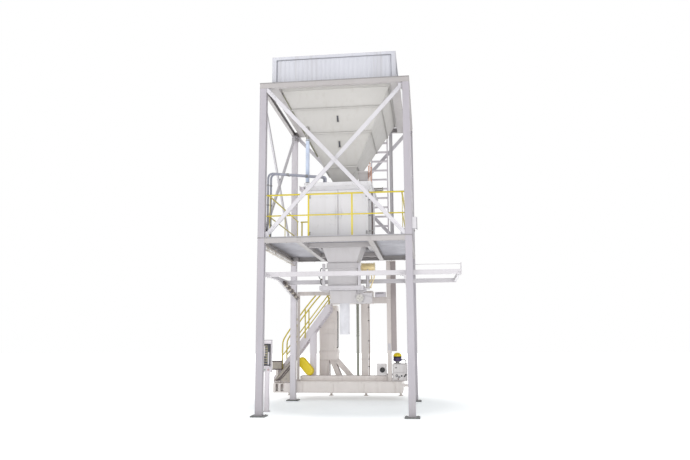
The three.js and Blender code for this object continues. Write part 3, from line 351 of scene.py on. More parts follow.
class Kit:
    """Gathers solids into one mesh. Each solid is a list of corners and a list of faces."""

    def __init__(self):
        self.points = []
        self.faces = []

    def add(self, points, faces):
        first = len(self.points)
        self.points.extend(points)
        self.faces.extend([tuple(first + i for i in face) for face in faces])

    def take(self, bm, matrix):
        bm.verts.ensure_lookup_table()
        points = [matrix @ v.co for v in bm.verts]
        for number, vertex in enumerate(bm.verts):
            vertex.index = number
        self.add(points, [[v.index for v in f.verts] for f in bm.faces])
        bm.free()

    def block(self, low, high, round_by=0.004):
        """An upright box between two corners, with its edges rounded."""
        size = [abs(b - a) for a, b in zip(low, high)]
        middle = [(a + b) / 2 for a, b in zip(low, high)]
        self._cuboid(size, Matrix.Translation(middle), round_by)

    def bar(self, a, b, wide, thick, side=None, round_by=0.004):
        """A box section from point to point; "wide" lies along the side vector."""
        x, y, z = frame_along(b - a, side)
        turn = Matrix((x, y, z)).transposed().to_4x4()
        self._cuboid((wide, thick, (b - a).length), Matrix.Translation((a + b) / 2) @ turn, round_by)

    def _cuboid(self, size, matrix, round_by):
        bm = bmesh.new()
        bmesh.ops.create_cube(bm, size=1.0)
        bmesh.ops.scale(bm, vec=size, verts=bm.verts)
        width = min(round_by, min(size) * 0.3)
        bmesh.ops.bevel(bm, geom=bm.edges[:], offset=width, segments=2, affect="EDGES", profile=0.7)
        self.take(bm, matrix)

    def turned(self, a, b, profile, sides=24):
        """A turned piece along a to b. The profile is (radius, distance from a) from end to end."""
        x, y, z = frame_along(b - a)
        rings = []
        for radius, distance in profile:
            rings.append([
                a + z * distance
                + (x * math.cos(2 * math.pi * k / sides) + y * math.sin(2 * math.pi * k / sides)) * radius
                for k in range(sides)
            ])
        self._rings(rings)

    def _rings(self, rings, closed=False):
        sides = len(rings[0])
        faces = []
        count = len(rings)
        for r in range(count if closed else count - 1):
            low = r * sides
            high = ((r + 1) % count) * sides
            for k in range(sides):
                n = (k + 1) % sides
                faces.append([low + k, low + n, high + n, high + k])
        if not closed:
            faces.append(list(range(sides))[::-1])
            faces.append([(count - 1) * sides + k for k in range(sides)])
        self.add([p for ring in rings for p in ring], faces)

    def rod(self, a, b, radius, sides=20, chamfer=0.003):
        length = (b - a).length
        c = min(chamfer, radius * 0.4, length * 0.4)
        self.turned(a, b, [(radius - c, 0), (radius, c), (radius, length - c), (radius - c, length)], sides)

    def tube(self, points, radius, sides=16, steps=8):
        """A round bar bent smoothly through the points."""
        path = smooth_path(points, steps)
        rings = []
        x, y, z = frame_along(path[1] - path[0])
        for number, point in enumerate(path):
            ahead = path[min(number + 1, len(path) - 1)] - path[max(number - 1, 0)]
            z = ahead.normalized()
            x = (x - z * x.dot(z)).normalized()
            y = z.cross(x)
            rings.append([
                point
                + (x * math.cos(2 * math.pi * k / sides) + y * math.sin(2 * math.pi * k / sides)) * radius
                for k in range(sides)
            ])
        self._rings(rings)

    def sheet(self, outline, across, thick, round_by=0.0015):
        """A flat plate: the outline's points in order, given thickness along "across"."""
        step = across.normalized() * thick
        bm = bmesh.new()
        low = [bm.verts.new(p) for p in outline]
        high = [bm.verts.new(p + step) for p in outline]
        count = len(outline)
        bm.faces.new(low[::-1])
        bm.faces.new(high)
        for k in range(count):
            n = (k + 1) % count
            bm.faces.new((low[k], low[n], high[n], high[k]))
        bmesh.ops.recalc_face_normals(bm, faces=bm.faces)
        width = min(round_by, thick * 0.3)
        bmesh.ops.bevel(bm, geom=bm.edges[:], offset=width, segments=1, affect="EDGES")
        self.take(bm, Matrix.Identity(4))

    def bolt(self, point, out, size=0.012, standing=0.6):
        """A hexagon head on a washer, its axis along "out"; size is half its width."""
        out = out.normalized()
        x, y, z = frame_along(out)
        self.turned(point - z * 0.002, point + z, [
            (size * 1.35, 0),
            (size * 1.45, 0.001),
            (size * 1.45, size * 0.22),
            (size * 1.35, size * 0.26),
        ], 12)
        base = size * 0.26
        top = base + size * standing * 1.6
        self.turned(point, point + z, [(size, base), (size, top - size * 0.15), (size * 0.86, top)], 6)

    def piece(self, name, look, body=TOWER, replaces=()):
        mesh = bpy.data.meshes.new(name)
        mesh.from_pydata(self.points, [], self.faces)
        bm = bmesh.new()
        bm.from_mesh(mesh)
        bmesh.ops.recalc_face_normals(bm, faces=bm.faces)
        bm.to_mesh(mesh)
        bm.free()
        mesh.shade_smooth()
        mesh.set_sharp_from_angle(angle=math.radians(32))
        mesh.materials.append(LOOKS[look])
        thing = bpy.data.objects.new(name, mesh)
        bpy.context.scene.collection.objects.link(thing)
        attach(thing, body)
        if replaces:
            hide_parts(*replaces)
        return thing


def smooth_path(points, steps):
    """A smooth curve through the points, with even steps between each two."""
    pts = [Vector(p) for p in points]
    if len(pts) == 2:
        return pts
    ends = [pts[0] * 2 - pts[1]] + pts + [pts[-1] * 2 - pts[-2]]
    path = []
    for k in range(1, len(ends) - 2):
        a, b, c, d = ends[k - 1:k + 3]
        for n in range(steps):
            t = n / steps
            path.append(
                0.5 * (
                    (2 * b) + (c - a) * t + (2 * a - 5 * b + 4 * c - d) * t * t
                    + (3 * b - a - 3 * c + d) * t * t * t
                )
            )
    path.append(pts[-1])
    return path


def rounded(points, radius, steps=5):
    """The points of a path with each inner corner turned into an arc of about the radius."""
    pts = [Vector(p) for p in points]
    out = [pts[0]]
    for a, b, c in zip(pts, pts[1:], pts[2:]):
        before = (a - b).normalized()
        after = (c - b).normalized()
        reach = min(radius, (a - b).length * 0.45, (c - b).length * 0.45)
        start = b + before * reach
        end = b + after * reach
        for n in range(steps + 1):
            t = n / steps
            out.append(start * (1 - t) ** 2 + b * (2 * t * (1 - t)) + end * t * t)
    out.append(pts[-1])
    return out


# ------------------------------------------------------------------ tower

COLUMNS = {
    name: [(a + b) / 2 for a, b in zip(*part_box(name))]
    for name in ("column_front_left", "column_front_right", "column_back_left", "column_back_right")
}
SECTION = 0.165  # side of a column's box section
DECK_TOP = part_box("platform_deck")[1].z
BEAM_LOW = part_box("platform_frame")[0].z
BEAM_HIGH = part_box("platform_frame")[1].z
HALF_X = (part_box("platform_deck")[1].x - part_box("platform_deck")[0].x) / 2
HALF_Y = (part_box("platform_deck")[1].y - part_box("platform_deck")[0].y) / 2
TOP_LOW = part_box("top_frame")[0].z
TOP_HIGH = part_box("top_frame")[1].z


def column_feet():
    """Anchor bolts on each base plate."""
    studs = Kit()
    plate_top = 0.0305
    reach = 0.13
    for x, y, _ in COLUMNS.values():
        for dx in (-reach, reach):
            for dy in (-reach, reach):
                studs.bolt(V(x + dx, y + dy, plate_top), UP, 0.012, 0.45)
    studs.piece("anchor_studs", "zinc")


def cap_plates():
    """Bolted cleats inside each column, at the platform and under the top frame, and the head's weld."""
    plates, bolts = Kit(), Kit()
    half = SECTION / 2
    for x, y, _ in COLUMNS.values():
        out_x = 1 if x > AXIS.x else -1
        out_y = 1 if y > AXIS.y else -1
        for z in (BEAM_LOW + 0.065, TOP_LOW - 0.11):
            for axis, way in ((0, RIGHT * out_x), (1, BACK * out_y)):
                centre = V(x, y, z) - way * (half + 0.006)
                reach = V(0.07, 0.07, 0.055)
                reach[axis] = 0.006
                plates.block(centre - reach, centre + reach)
                for dz in (-0.03, 0.03):
                    for d in (-0.042, 0.042):
                        point = centre - way * 0.006 + UP * dz
                        point[1 - axis] += d
                        bolts.bolt(point, -way, 0.012)
        level = TOP_LOW - 0.003
        for dx, dy in ((-1, -1), (1, -1), (1, 1), (-1, 1)):
            start = V(x + dx * half, y + dy * half, level)
            plates.rod(start, V(x - dy * half, y + dx * half, level), 0.006, 8, 0.001)
    plates.piece("column_cleats", "beam")
    bolts.piece("cleat_bolts", "zinc")


def brace_gussets():
    """A gusset in each corner of each braced bay, a plate where the diagonals cross, and their bolts."""
    plates, bolts = Kit(), Kit()
    low = DECK_TOP + 0.004
    high = TOP_LOW - 0.004
    middle_z = (low + high) / 2
    gusset = ((0, 0), (0.10, 0), (0.10, 0.05), (0.05, 0.14), (0, 0.14))
    diamond = ((-0.055, 0), (0, -0.0715), (0.055, 0), (0, 0.0715))
    for face in ("front", "back", "left", "right"):
        boxes = [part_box(f"brace_{face}_{layer}") for layer in "ab"]
        along = 0 if face in ("front", "back") else 1
        across = 1 - along
        layers = sorted(sorted((a[across], b[across])) for a, b in boxes)
        seam = (layers[0][1] + layers[1][0]) / 2 - 0.006
        out = RIGHT if across == 0 else BACK
        ends = (boxes[0][0][along] + 0.002, boxes[0][1][along] - 0.002)
        centre = sum(ends) / 2

        def spot(u, z, depth):
            p = V(depth, depth, z)
            p[along] = u
            return p

        for end, turn in zip(ends, (1, -1)):
            for z, rise in ((low, 1), (high, -1)):
                plates.sheet([spot(end + turn * u, z + rise * v, seam) for u, v in gusset], out, 0.012)
        plates.sheet([spot(centre + u, middle_z + v, seam) for u, v in diamond], out, 0.012)
        slope = math.atan2(high - low, ends[1] - ends[0])
        step = (math.cos(slope), math.sin(slope))
        for distance in (-0.05, 0.05):
            u, v = (part * distance for part in step)
            bolts.bolt(spot(centre + u, middle_z + v, layers[1][1]), out, 0.013)
            bolts.bolt(spot(centre + u, middle_z - v, layers[0][0]), -out, 0.013)
        for (a, b), rise in zip(boxes, (-1, 1)):
            near = a[across] < AXIS[across]
            depth = a[across] if near else b[across]
            start, finish = (low, high) if rise > 0 else (high, low)
            for distance in (0.16, 0.24, 0.32):
                u, v = (part * distance for part in step)
                for point in (
                    spot(ends[0] + u, start + rise * v, depth), spot(ends[1] - u, finish - rise * v, depth),
                ):
                    bolts.bolt(point, -out if near else out, 0.013)
    plates.piece("brace_gussets", "brace")
    bolts.piece("brace_bolts", "brace")


def deck_details():
    """Bolt rows on the edge beams, and a dark strip along the upper edge of both frames: painted shade under their
    top edges.
    """
    bolts, lines = Kit(), Kit()
    for sign in BOTH:
        for x in spread(0.32 - HALF_X, HALF_X - 0.32, 9):
            for z in (BEAM_LOW, TOP_LOW):
                bolts.bolt(at(x, sign * (HALF_Y - 0.05), z), -UP, 0.011)
        for x in (-0.87, -0.81, 0.81, 0.87):
            for z in (BEAM_LOW + 0.035, BEAM_LOW + 0.095):
                bolts.bolt(at(x, sign * HALF_Y, z), BACK * sign, 0.011)
        # dark strips along the top edge of each frame: painted shade
        for high in (BEAM_HIGH, TOP_HIGH):
            for x, y, dx, dy in ((HALF_X - 0.001, HALF_Y, 0, 0.006), (HALF_X, HALF_Y - 0.001, 0.006, 0)):
                a = V(-x, sign * y, high - 0.024) if dy else V(sign * x, -y, high - 0.024)
                b = V(x, sign * (y + dy), high - 0.001) if dy else V(sign * (x + dx), y, high - 0.001)
                lines.block(at(*a), at(*b), 0.002)
    bolts.piece("beam_bolts", "beam")
    lines.piece("beam_edge_shade_strips", "frame_shade_grey")


def perforated_tray():
    """A tray with round holes slung under the deck's left edge, on hangers."""
    x = at_x(-HALF_X + 0.105)
    start = at_y(-HALF_Y + 0.225)
    high = BEAM_LOW - 0.004
    low = high - 0.135
    middle = (low + high) / 2
    hole, pitch, count = 0.050, 0.150, 24
    end = start + pitch * count
    sides = 16
    quarter = sides // 4
    tray = Kit()
    bm = bmesh.new()
    for k in range(count):
        y = start + pitch * (k + 0.5)
        rim = [
            bm.verts.new((x, y + a * pitch / 2, middle + b * (high - low) / 2))
            for a, b in ((1, 1), (-1, 1), (-1, -1), (1, -1))
        ]
        ring = []
        for n in range(sides):
            angle = math.pi / 4 + 2 * math.pi * n / sides
            ring.append(bm.verts.new((x, y + math.cos(angle) * hole, middle + math.sin(angle) * hole)))
        for q in range(4):
            arc = [ring[(q * quarter + n) % sides] for n in range(quarter + 1)]
            bm.faces.new([rim[q]] + arc + [rim[(q + 1) % 4]])
    bmesh.ops.remove_doubles(bm, verts=bm.verts, dist=0.0005)
    made = bmesh.ops.extrude_face_region(bm, geom=bm.faces[:])
    moved = [e for e in made["geom"] if isinstance(e, bmesh.types.BMVert)]
    bmesh.ops.translate(bm, vec=(0.004, 0, 0), verts=moved)
    bmesh.ops.recalc_face_normals(bm, faces=bm.faces)
    tray.take(bm, Matrix.Identity(4))
    tray.block((x, start, low - 0.004), (x + 0.075, end, low), 0.001)
    for y in spread(start + 0.1, end - 0.1, 5):
        tray.block((x - 0.02, y, low - 0.01), (x + 0.08, y + 0.03, low - 0.004), 0.001)
        hanger = V(x + 0.07, y + 0.015, low - 0.01)
        tray.rod(hanger, V(hanger.x, hanger.y, high), 0.006, 10)
    tray.piece("perforated_tray", "tray_beige")


column_feet()
cap_plates()
brace_gussets()
deck_details()
perforated_tray()

# ------------------------------------------------------------------ hopper


def ribbed_panels():
    """Trapezoid ribs on the four sides of the box, framed by an angle."""
    low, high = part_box("hopper_box")
    post, recess, rim = 0.110, 0.035, 0.075
    rise = 0.0045
    pitch = 0.118
    z0 = low.z + rim + 0.012
    z1 = high.z - rim - 0.012
    ribs, trim = Kit(), Kit()
    for along, sign in ((0, -1), (0, 1), (1, -1), (1, 1)):
        across = 1 - along
        wall = (high[across] if sign > 0 else low[across]) - sign * recess
        start = low[along] + post + 0.012
        end = high[along] - post - 0.012
        count = round((end - start) / pitch)
        step = (end - start) / count
        profile = [(start, 0.002)]
        for k in range(count):
            u = start + k * step
            for share, height in ((0.12, 0.002), (0.24, rise), (0.66, rise), (0.78, 0.002)):
                profile.append((u + share * step, height))
        profile.append((end, 0.002))
        points = []
        for face in (True, False):
            for level in (z0, z1):
                for u, height in profile:
                    p = V(0, 0, level)
                    p[along] = u
                    p[across] = wall + sign * (height if face else 0.0005)
                    points.append(p)
        n = len(profile)
        faces = []
        for k in range(n - 1):
            faces.append((k, k + 1, n + k + 1, n + k))
            faces.append((2 * n + k, 3 * n + k, 3 * n + k + 1, 2 * n + k + 1))
            faces.append((k, 2 * n + k, 2 * n + k + 1, k + 1))
            faces.append((n + k, n + k + 1, 3 * n + k + 1, 3 * n + k))
        faces.append((0, n, 3 * n, 2 * n))
        faces.append((n - 1, 3 * n - 1, 4 * n - 1, 2 * n - 1))
        ribs.add(points, faces)
        for u0, u1, v0, v1 in (
            (start - 0.011, end + 0.011, z0 - 0.011, z0 - 0.001),
            (start - 0.011, end + 0.011, z1 + 0.001, z1 + 0.011),
            (start - 0.011, start - 0.001, z0, z1),
            (end + 0.001, end + 0.011, z0, z1),
        ):
            a, b = V(0, 0, v0), V(0, 0, v1)
            a[along], b[along] = u0, u1
            a[across], b[across] = wall + sign * 0.001, wall + sign * (recess - 0.004)
            trim.block(a, b, 0.002)
    ribs.piece("ribbed_panels", "panel")
    trim.piece("panel_trim", "shadow_trim")


def box_roof():
    """Roof seams, the inlet's collar with its bolts and the corner posts' bolts."""
    low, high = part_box("hopper_box")
    inlet = 0.45
    centre = V((low.x + high.x) / 2, (low.y + high.y) / 2, high.z)
    seams, collar, bolts, corners = (Kit() for _ in range(4))
    edges = (low.x + 0.02, high.x - 0.02)
    gap = inlet + 0.07
    count = int((high.y - low.y) / 0.42)
    for k in range(1, count + 1):
        y = low.y + k * (high.y - low.y) / (count + 1)
        over_inlet = abs(y - centre.y) < inlet + 0.06
        spans = ((edges[0], centre.x - gap), (centre.x + gap, edges[1])) if over_inlet else (edges,)
        for x0, x1 in spans:
            seams.block((x0, y - 0.012, high.z - 0.001), (x1, y + 0.012, high.z + 0.012), 0.003)
    seams.piece("roof_seams", "panel")
    for along in (0, 1):
        for sign in BOTH:
            a, b = Vector(centre), Vector(centre)
            a[along] -= inlet + 0.055
            b[along] += inlet + 0.055
            for p, reach in ((a, 0.0), (b, 0.055)):
                p[1 - along] = centre[1 - along] + sign * (inlet + reach)
            a.z, b.z = high.z - 0.001, high.z + 0.010
            collar.block(a, b, 0.002)
            for k in range(9):
                point = Vector(centre)
                point[along] += (k - 4) * inlet / 4.4
                point[1 - along] += sign * (inlet + 0.028)
                point.z = high.z + 0.010
                bolts.bolt(point, UP, 0.008)
    collar.piece("inlet_collar", "panel")
    bolts.piece("inlet_bolts", "zinc")
    for x in (low.x + 0.055, high.x - 0.055):
        for sign, y in ((-1, low.y), (1, high.y)):
            for z in (low.z + 0.12, (low.z + high.z) / 2, high.z - 0.12):
                corners.bolt(V(x, y, z), BACK * sign, 0.007)
    corners.piece("corner_post_bolts", "panel")


CONE_X = AXIS.x - 0.0225
CONE_LOW = 5.810
CONE_HIGH = 8.040
OUTLET = 0.180
MOUTH_X = 1.370
MOUTH_Y = 1.600


def cone_half(z, along):
    """Half width of the cone's outside at a height, along X (0) or Y (1)."""
    share = (z - CONE_LOW) / (CONE_HIGH - CONE_LOW)
    across = OUTLET + share * (MOUTH_X - OUTLET)
    return across if along == 0 else across * MOUTH_Y / MOUTH_X


def cone_details():
    """Corner welds, flanged stiffeners, a dark channel on the left front edge that is painted shade, and two sight
    glasses on the front.
    """
    welds, frames, panes, bolts, channel = (Kit() for _ in range(5))

    def corner(sx, sy, z, dx=0.0, dy=0.0):
        return V(CONE_X + sx * cone_half(z, 0) + dx, AXIS.y + sy * cone_half(z, 1) + dy, z)

    for sx in BOTH:
        for sy in BOTH:
            welds.rod(corner(sx, sy, 5.83), corner(sx, sy, 8.03), 0.009, 10, 0.001)
    reach = 0.028
    for z in (7.600, 7.050, 6.270):
        hx = cone_half(z + 0.008, 0) + reach
        hy = cone_half(z + 0.008, 1) + reach * MOUTH_Y / MOUTH_X
        bottom, top = z - 0.026, z + 0.017
        for sign in BOTH:
            y = AXIS.y + sign * hy
            welds.block((CONE_X - hx, y - 0.004, bottom), (CONE_X + hx, y + 0.004, top), 0.002)
        for sign in BOTH:
            x = CONE_X + sign * hx
            welds.block((x - 0.004, AXIS.y - hy, bottom), (x + 0.004, AXIS.y + hy, top), 0.002)
    welds.piece("cone_stiffener_flanges", "cone")
    lean = V(0, -(CONE_HIGH - CONE_LOW), -(MOUTH_Y - OUTLET * MOUTH_Y / MOUTH_X)).normalized()
    uphill = V(0, lean.z, -lean.y)
    for z in (7.375, 6.800):
        centre = V(CONE_X + 0.01, AXIS.y - cone_half(z, 1), z)
        for du, dv, wide, tall in (
            (-0.030, 0, 0.014, 0.19), (0.030, 0, 0.014, 0.19),
            (0, -0.088, 0.074, 0.014), (0, 0.088, 0.074, 0.014),
        ):
            p = centre + RIGHT * du + uphill * dv + lean * 0.008
            frames.bar(p - uphill * tall / 2, p + uphill * tall / 2, wide, 0.020, RIGHT, 0.003)
        pane = centre + lean * 0.004
        panes.bar(pane - uphill * 0.082, pane + uphill * 0.082, 0.048, 0.008, RIGHT)
        for du in (-0.030, 0.030):
            for dv in (-0.07, 0.0, 0.07):
                bolts.bolt(centre + RIGHT * du + uphill * dv + lean * 0.018, lean, 0.004)
    frames.piece("sight_glass_frames", "steel")
    panes.piece("sight_glasses", "dark")
    bolts.piece("sight_glass_bolts", "zinc")
    # dark olive channel down the cone's left front edge: painted shade where that edge falls into shadow
    channel.bar(corner(-1, -1, 7.98, 0.01, 0.06), corner(-1, -1, 6.55, 0.0, 0.05), 0.10, 0.05, RIGHT, 0.006)
    channel.piece("cone_corner_shade_channel", "olive")


def gate_details():
    """Flange bolts of the slide gate, its cylinder's end caps, tie rods and air ports."""
    _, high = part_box("gate_housing")
    bolts, caps = Kit(), Kit()
    top = CONE_LOW + 0.014
    for offset in (-0.20, -0.10, 0.0, 0.10, 0.20):
        for reach in (-0.212, 0.212):
            bolts.bolt(V(CONE_X + offset, AXIS.y + reach, top), UP, 0.009)
            bolts.bolt(V(CONE_X + reach, AXIS.y + offset, top), UP, 0.009)
    y, z = AXIS.y + 0.09, 5.756
    x0, x1 = CONE_X + 0.70, high.x
    for x in (x0 + 0.002, x1 - 0.032):
        caps.block((x, y - 0.046, z - 0.046), (x + 0.030, y + 0.046, z + 0.046), 0.005)
    for dy in (-0.036, 0.036):
        for dz in (-0.036, 0.036):
            caps.rod(V(x0, y + dy, z + dz), V(x1, y + dy, z + dz), 0.005, 10)
    for x in (x0 + 0.017, x1 - 0.017):
        caps.rod(V(x, y, z + 0.044), V(x, y, z + 0.066), 0.010, 12)
    bolts.piece("cone_flange_bolts", "zinc")
    caps.piece("gate_cylinder_caps", "steel")


ribbed_panels()
box_roof()
cone_details()
gate_details()

# ------------------------------------------------------------------ weigh cabinet

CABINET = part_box("weigh_cabinet")
LEFT_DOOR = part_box("cabinet_door_left")
RIGHT_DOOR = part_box("cabinet_door_right")
LID_HIGH = CABINET[1].z


def door_details(name, door, body, side):
    """Pressed panels, a seal strip and hinge leaves on one leaf; its hinges are on the given side."""
    low, high = door
    panels, seal, hardware = Kit(), Kit(), Kit()
    y = at_y(-1.100)
    middle = (low.z + high.z) / 2
    inset = 0.06
    for z0, z1 in ((low.z + inset, middle - 0.03), (middle + 0.03, high.z - inset)):
        panels.block((low.x + inset, y - 0.007, z0), (high.x - inset, y + 0.001, z1), 0.006)
    panels.piece(f"{name}_panels", "cabinet", body)
    meeting, hinged = (high.x, low.x) if side < 0 else (low.x, high.x)
    seal.block(
        (meeting + side * 0.010, y - 0.004, low.z + 0.01),
        (meeting + side * 0.002, y + 0.001, high.z - 0.01), 0.001,
    )
    seal.piece(f"{name}_seal", "lavender", body)
    hinge = hinged - side * 0.012
    for z in (low.z + 0.15, high.z - 0.15):
        hardware.block((hinge, y - 0.006, z - 0.045), (hinge - side * 0.09, y + 0.001, z + 0.045), 0.002)
        for dz in (-0.025, 0.025):
            hardware.bolt(V(hinge - side * 0.06, y - 0.006, z + dz), FRONT, 0.006)
    hardware.piece(f"{name}_hinge_leaves", "zinc", body)


def cabinet_details():
    """Lid flange with its bolts, ribs on the sides and back, and the clipped conduit on the right."""
    low, high = CABINET
    trim, bolts, ribs = Kit(), Kit(), Kit()
    skirt = 5.610
    rib_foot, rib_top = low.z + 0.08, 5.46
    for sign, x, y in ((-1, low.x, low.y), (1, high.x, high.y)):
        trim.block((low.x, y, skirt - 0.012), (high.x, y + sign * 0.006, skirt + 0.012), 0.002)
        trim.block((x, low.y, skirt - 0.012), (x + sign * 0.006, high.y, skirt + 0.012), 0.002)
        for along in spread(low.x + 0.08, high.x - 0.08, 9):
            bolts.bolt(V(along, y, high.z - 0.045), BACK * sign, 0.009)
        for along in spread(low.y + 0.08, high.y - 0.08, 10):
            bolts.bolt(V(x, along, high.z - 0.045), RIGHT * sign, 0.009)
    trim.piece("lid_trim", "cabinet")
    bolts.piece("lid_bolts", "cabinet")
    for sign, x in ((-1, LEFT_DOOR[0].x - 0.002), (1, RIGHT_DOOR[1].x + 0.002)):
        for y in map(at_y, (-0.72, -0.24, 0.24, 0.72)):
            ribs.block((x, y - 0.02, rib_foot), (x + sign * 0.012, y + 0.02, rib_top), 0.003)
    back = at_y(1.100)
    for x in map(at_x, (-0.45, 0.0, 0.45)):
        ribs.block((x - 0.02, back, rib_foot), (x + 0.02, back + 0.012, rib_top), 0.003)
    ribs.piece("cabinet_ribs", "cabinet")
    conduit, clips = Kit(), Kit()
    p = at(0.838, -1.02, 0)
    conduit.tube([p + UP * z for z in (low.z + 0.015, low.z + 0.4, 5.0, 5.44)], 0.018, 14, 4)
    conduit.piece("cabinet_conduit", "umber")
    for z in (4.45, 4.85, 5.25):
        clips.block((RIGHT_DOOR[1].x, p.y - 0.024, z - 0.012), (p.x + 0.024, p.y + 0.024, z + 0.012), 0.003)
    clips.piece("conduit_clips", "zinc")


def lid_fittings():
    """Grey drive box, capped air tubes, the bellows' socket, the shelf beside the lid and lugs."""
    low, high = CABINET
    top = LID_HIGH + 0.001
    drive, tubes, sockets, bolts, shelf, lugs = (Kit() for _ in range(6))
    a = at(0.50, -1.02, top)
    b = at(0.72, -0.80, 5.985)
    drive.block(a, b, 0.012)
    drive.block((a.x - 0.02, a.y - 0.02, b.z - 0.03), (b.x + 0.02, b.y + 0.02, b.z + 0.012), 0.006)
    drive.block((a.x + 0.03, a.y - 0.006, a.z + 0.05), (b.x - 0.03, a.y + 0.001, b.z - 0.06), 0.004)
    drive.piece("lid_drive_box", "beam")
    for x, y, z in ((0.745, -0.86, 6.16), (0.78, -0.84, 6.24), (0.815, -0.87, 6.12)):
        foot, head = at(x, y, top), at(x, y, z)
        tubes.rod(foot, head, 0.010, 12)
        tubes.rod(foot, foot + UP * 0.03, 0.017, 12)
        tubes.rod(head - UP * 0.002, head + UP * 0.022, 0.015, 12)
    tubes.piece("lid_air_tubes", "copper")
    for x in (-0.39, -0.29):
        for y in (-1.155, -0.985):
            bolts.bolt(at(x, y, top), UP, 0.007)
    hose_low, hose_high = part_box("bellows_hose")
    base = (hose_low + hose_high) / 2
    base.z = top
    sockets.turned(base, base + UP, [(0.075, 0), (0.075, 0.008), (0.056, 0.010), (0.056, 0.03)], 28)
    sockets.piece("pipe_sockets", "zinc")
    edge = low.x
    for x0, x1, y0, y1, z0, z1, bend in (
        (0.13, 0.001, -1.15, -0.85, 5.53, 5.545, 0.003), (0.13, 0.118, -1.15, -0.85, 5.545, 5.64, 0.003),
        (0.118, 0.02, -1.10, -0.92, 5.547, 5.625, 0.008),
    ):
        shelf.block((edge - x0, at_y(y0), z0), (edge - x1, at_y(y1), z1), bend)
    shelf.piece("lid_shelf", "lavender")
    for x in (low.x + 0.16, high.x - 0.16):
        for y in (low.y + 0.30, high.y - 0.16):
            lugs.block((x - 0.05, y - 0.008, top - 0.0005), (x + 0.05, y + 0.008, LID_HIGH + 0.012), 0.002)
            eye = V(x, y - 0.008, LID_HIGH + 0.045)
            lugs.turned(eye, eye + BACK, [(0.018, 0), (0.036, 0.001), (0.036, 0.015), (0.018, 0.016)], 20)
    lugs.piece("lid_lugs", "zinc")
    bolts.piece("lid_flange_bolts", "zinc")


door_details("left_door", LEFT_DOOR, "door_left", -1)
door_details("right_door", RIGHT_DOOR, "door_right", 1)
cabinet_details()
lid_fittings()

# ------------------------------------------------------------------ pipes, hose and rails


def lid_pipes():
    """Two parallel round pipes: up from the deck, across with tight bends and down into the lid."""
    level = 5.858
    for name, node, dx, dy in (("pipe_a", "pipe_front", 0.0, 0.0), ("pipe_b", "pipe_back", 0.055, 0.08)):
        pipe, clips = Kit(), Kit()
        foot = at(-1.700 + dx, -1.690 + dy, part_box(node)[0].z + 0.002)
        end = at(-0.337 - dx, -1.108 + dy, LID_HIGH + 0.012)
        near, far = V(foot.x, foot.y, level), V(end.x, end.y, level)
        pipe.tube(rounded([foot, near, far, end], 0.15, 7), 0.026, 18, 1)
        pipe.piece(name, "pipe_grey", replaces=(node,))
        for z in (4.55, 5.05, 5.55):
            spot = V(foot.x, foot.y, z)
            clips.rod(spot - UP * 0.018, spot + UP * 0.018, 0.033, 18, 0.004)
        way = (far - near).normalized()
        for share in (0.33, 0.66):
            spot = near.lerp(far, share)
            clips.rod(spot - way * 0.03, spot + way * 0.03, 0.032, 18, 0.004)
        socket = [(0.055, 0), (0.055, 0.010), (0.034, 0.014), (0.034, 0.05)]
        clips.turned(foot - UP * 0.001, foot + UP, socket, 18)
        clips.piece(f"{name}_couplings", "zinc")


def bellows():
    """A ribbed hose between two clamp rings, and the spigot that it hangs from."""
    low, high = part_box("bellows_hose")
    centre = V((low.x + high.x) / 2, (low.y + high.y) / 2, low.z)
    length = high.z - low.z
    outer = (high.x - low.x) / 2
    root, cuff = outer - 0.012, outer - 0.004
    pitch, first = 0.030, 0.055
    count = int((length - 0.11) / pitch)
    profile = [(cuff, 0.0), (cuff, 0.05)]
    for k in range(count):
        z = first + k * pitch
        profile += [(root, z), (outer, z + pitch * 0.35), (outer, z + pitch * 0.65)]
    profile += [(root, first + count * pitch), (cuff, length - 0.045), (cuff, length)]
    hose, rings, spigot = Kit(), Kit(), Kit()
    hose.turned(centre, centre + UP, profile, 28)
    hose.piece("bellows", "blue", replaces=("bellows_hose",))
    for z in (0.022, length - 0.026):
        a, b = centre + UP * (z - 0.008), centre + UP * (z + 0.008)
        rings.rod(a, b, outer + 0.002, 28, 0.002)
        rings.block((a.x - 0.012, a.y - outer - 0.012, a.z), (b.x + 0.012, b.y - outer + 0.002, b.z), 0.002)
    rings.piece("bellows_rings", "zinc")
    foot = V(centre.x, centre.y, high.z - 0.02)
    spigot.turned(foot, foot + UP, [(0.040, 0), (0.045, 0.004), (0.045, 0.36), (0.040, 0.364)], 24)
    spigot.piece("bellows_spigot", "steel")


def guard_rails():
    """Tube rails on flat posts, with foot plates and bolts on the deck."""
    rail = 0.020
    heights = (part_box("guard_front")[1].z - 0.0205, DECK_TOP + 0.536)
    runs = (
        ("guard_front", (-1.680, -1.905), (1.680, -1.905), (0.31, 0.625)),
        ("guard_left", (-1.625, -1.845), (-1.625, 1.845), (0.02, 0.5, 0.98)),
        ("guard_back", (-1.560, 1.905), (0.540, 1.905), (0.02, 0.5, 0.98)),
        ("guard_right", (1.625, -1.845), (1.625, 1.845), (0.02, 0.5, 0.98)),
    )
    plate = V(0.045, 0.045, 0)
    for node, start, end, shares in runs:
        a, b = at(*start, 0), at(*end, 0)
        way = (b - a).normalized()
        rails, feet = Kit(), Kit()
        for height, radius in zip(heights, (rail, rail * 0.78)):
            rails.rod(a + UP * height, b + UP * height, radius, 18, 0.006)
        for share in shares:
            spot = a.lerp(b, share)
            top = spot + UP * (DECK_TOP + 0.010)
            rails.bar(spot + UP * (DECK_TOP + 0.004), spot + UP * heights[0], 0.040, 0.014, way, 0.003)
            feet.block(spot + UP * (DECK_TOP + 0.0015) - plate, top + plate, 0.002)
            for s in BOTH:
                feet.bolt(top + way * s * 0.034, UP, 0.007)
        rails.piece(f"{node}_rails", "yellow", replaces=(node,))
        feet.piece(f"{node}_feet", "yellow")


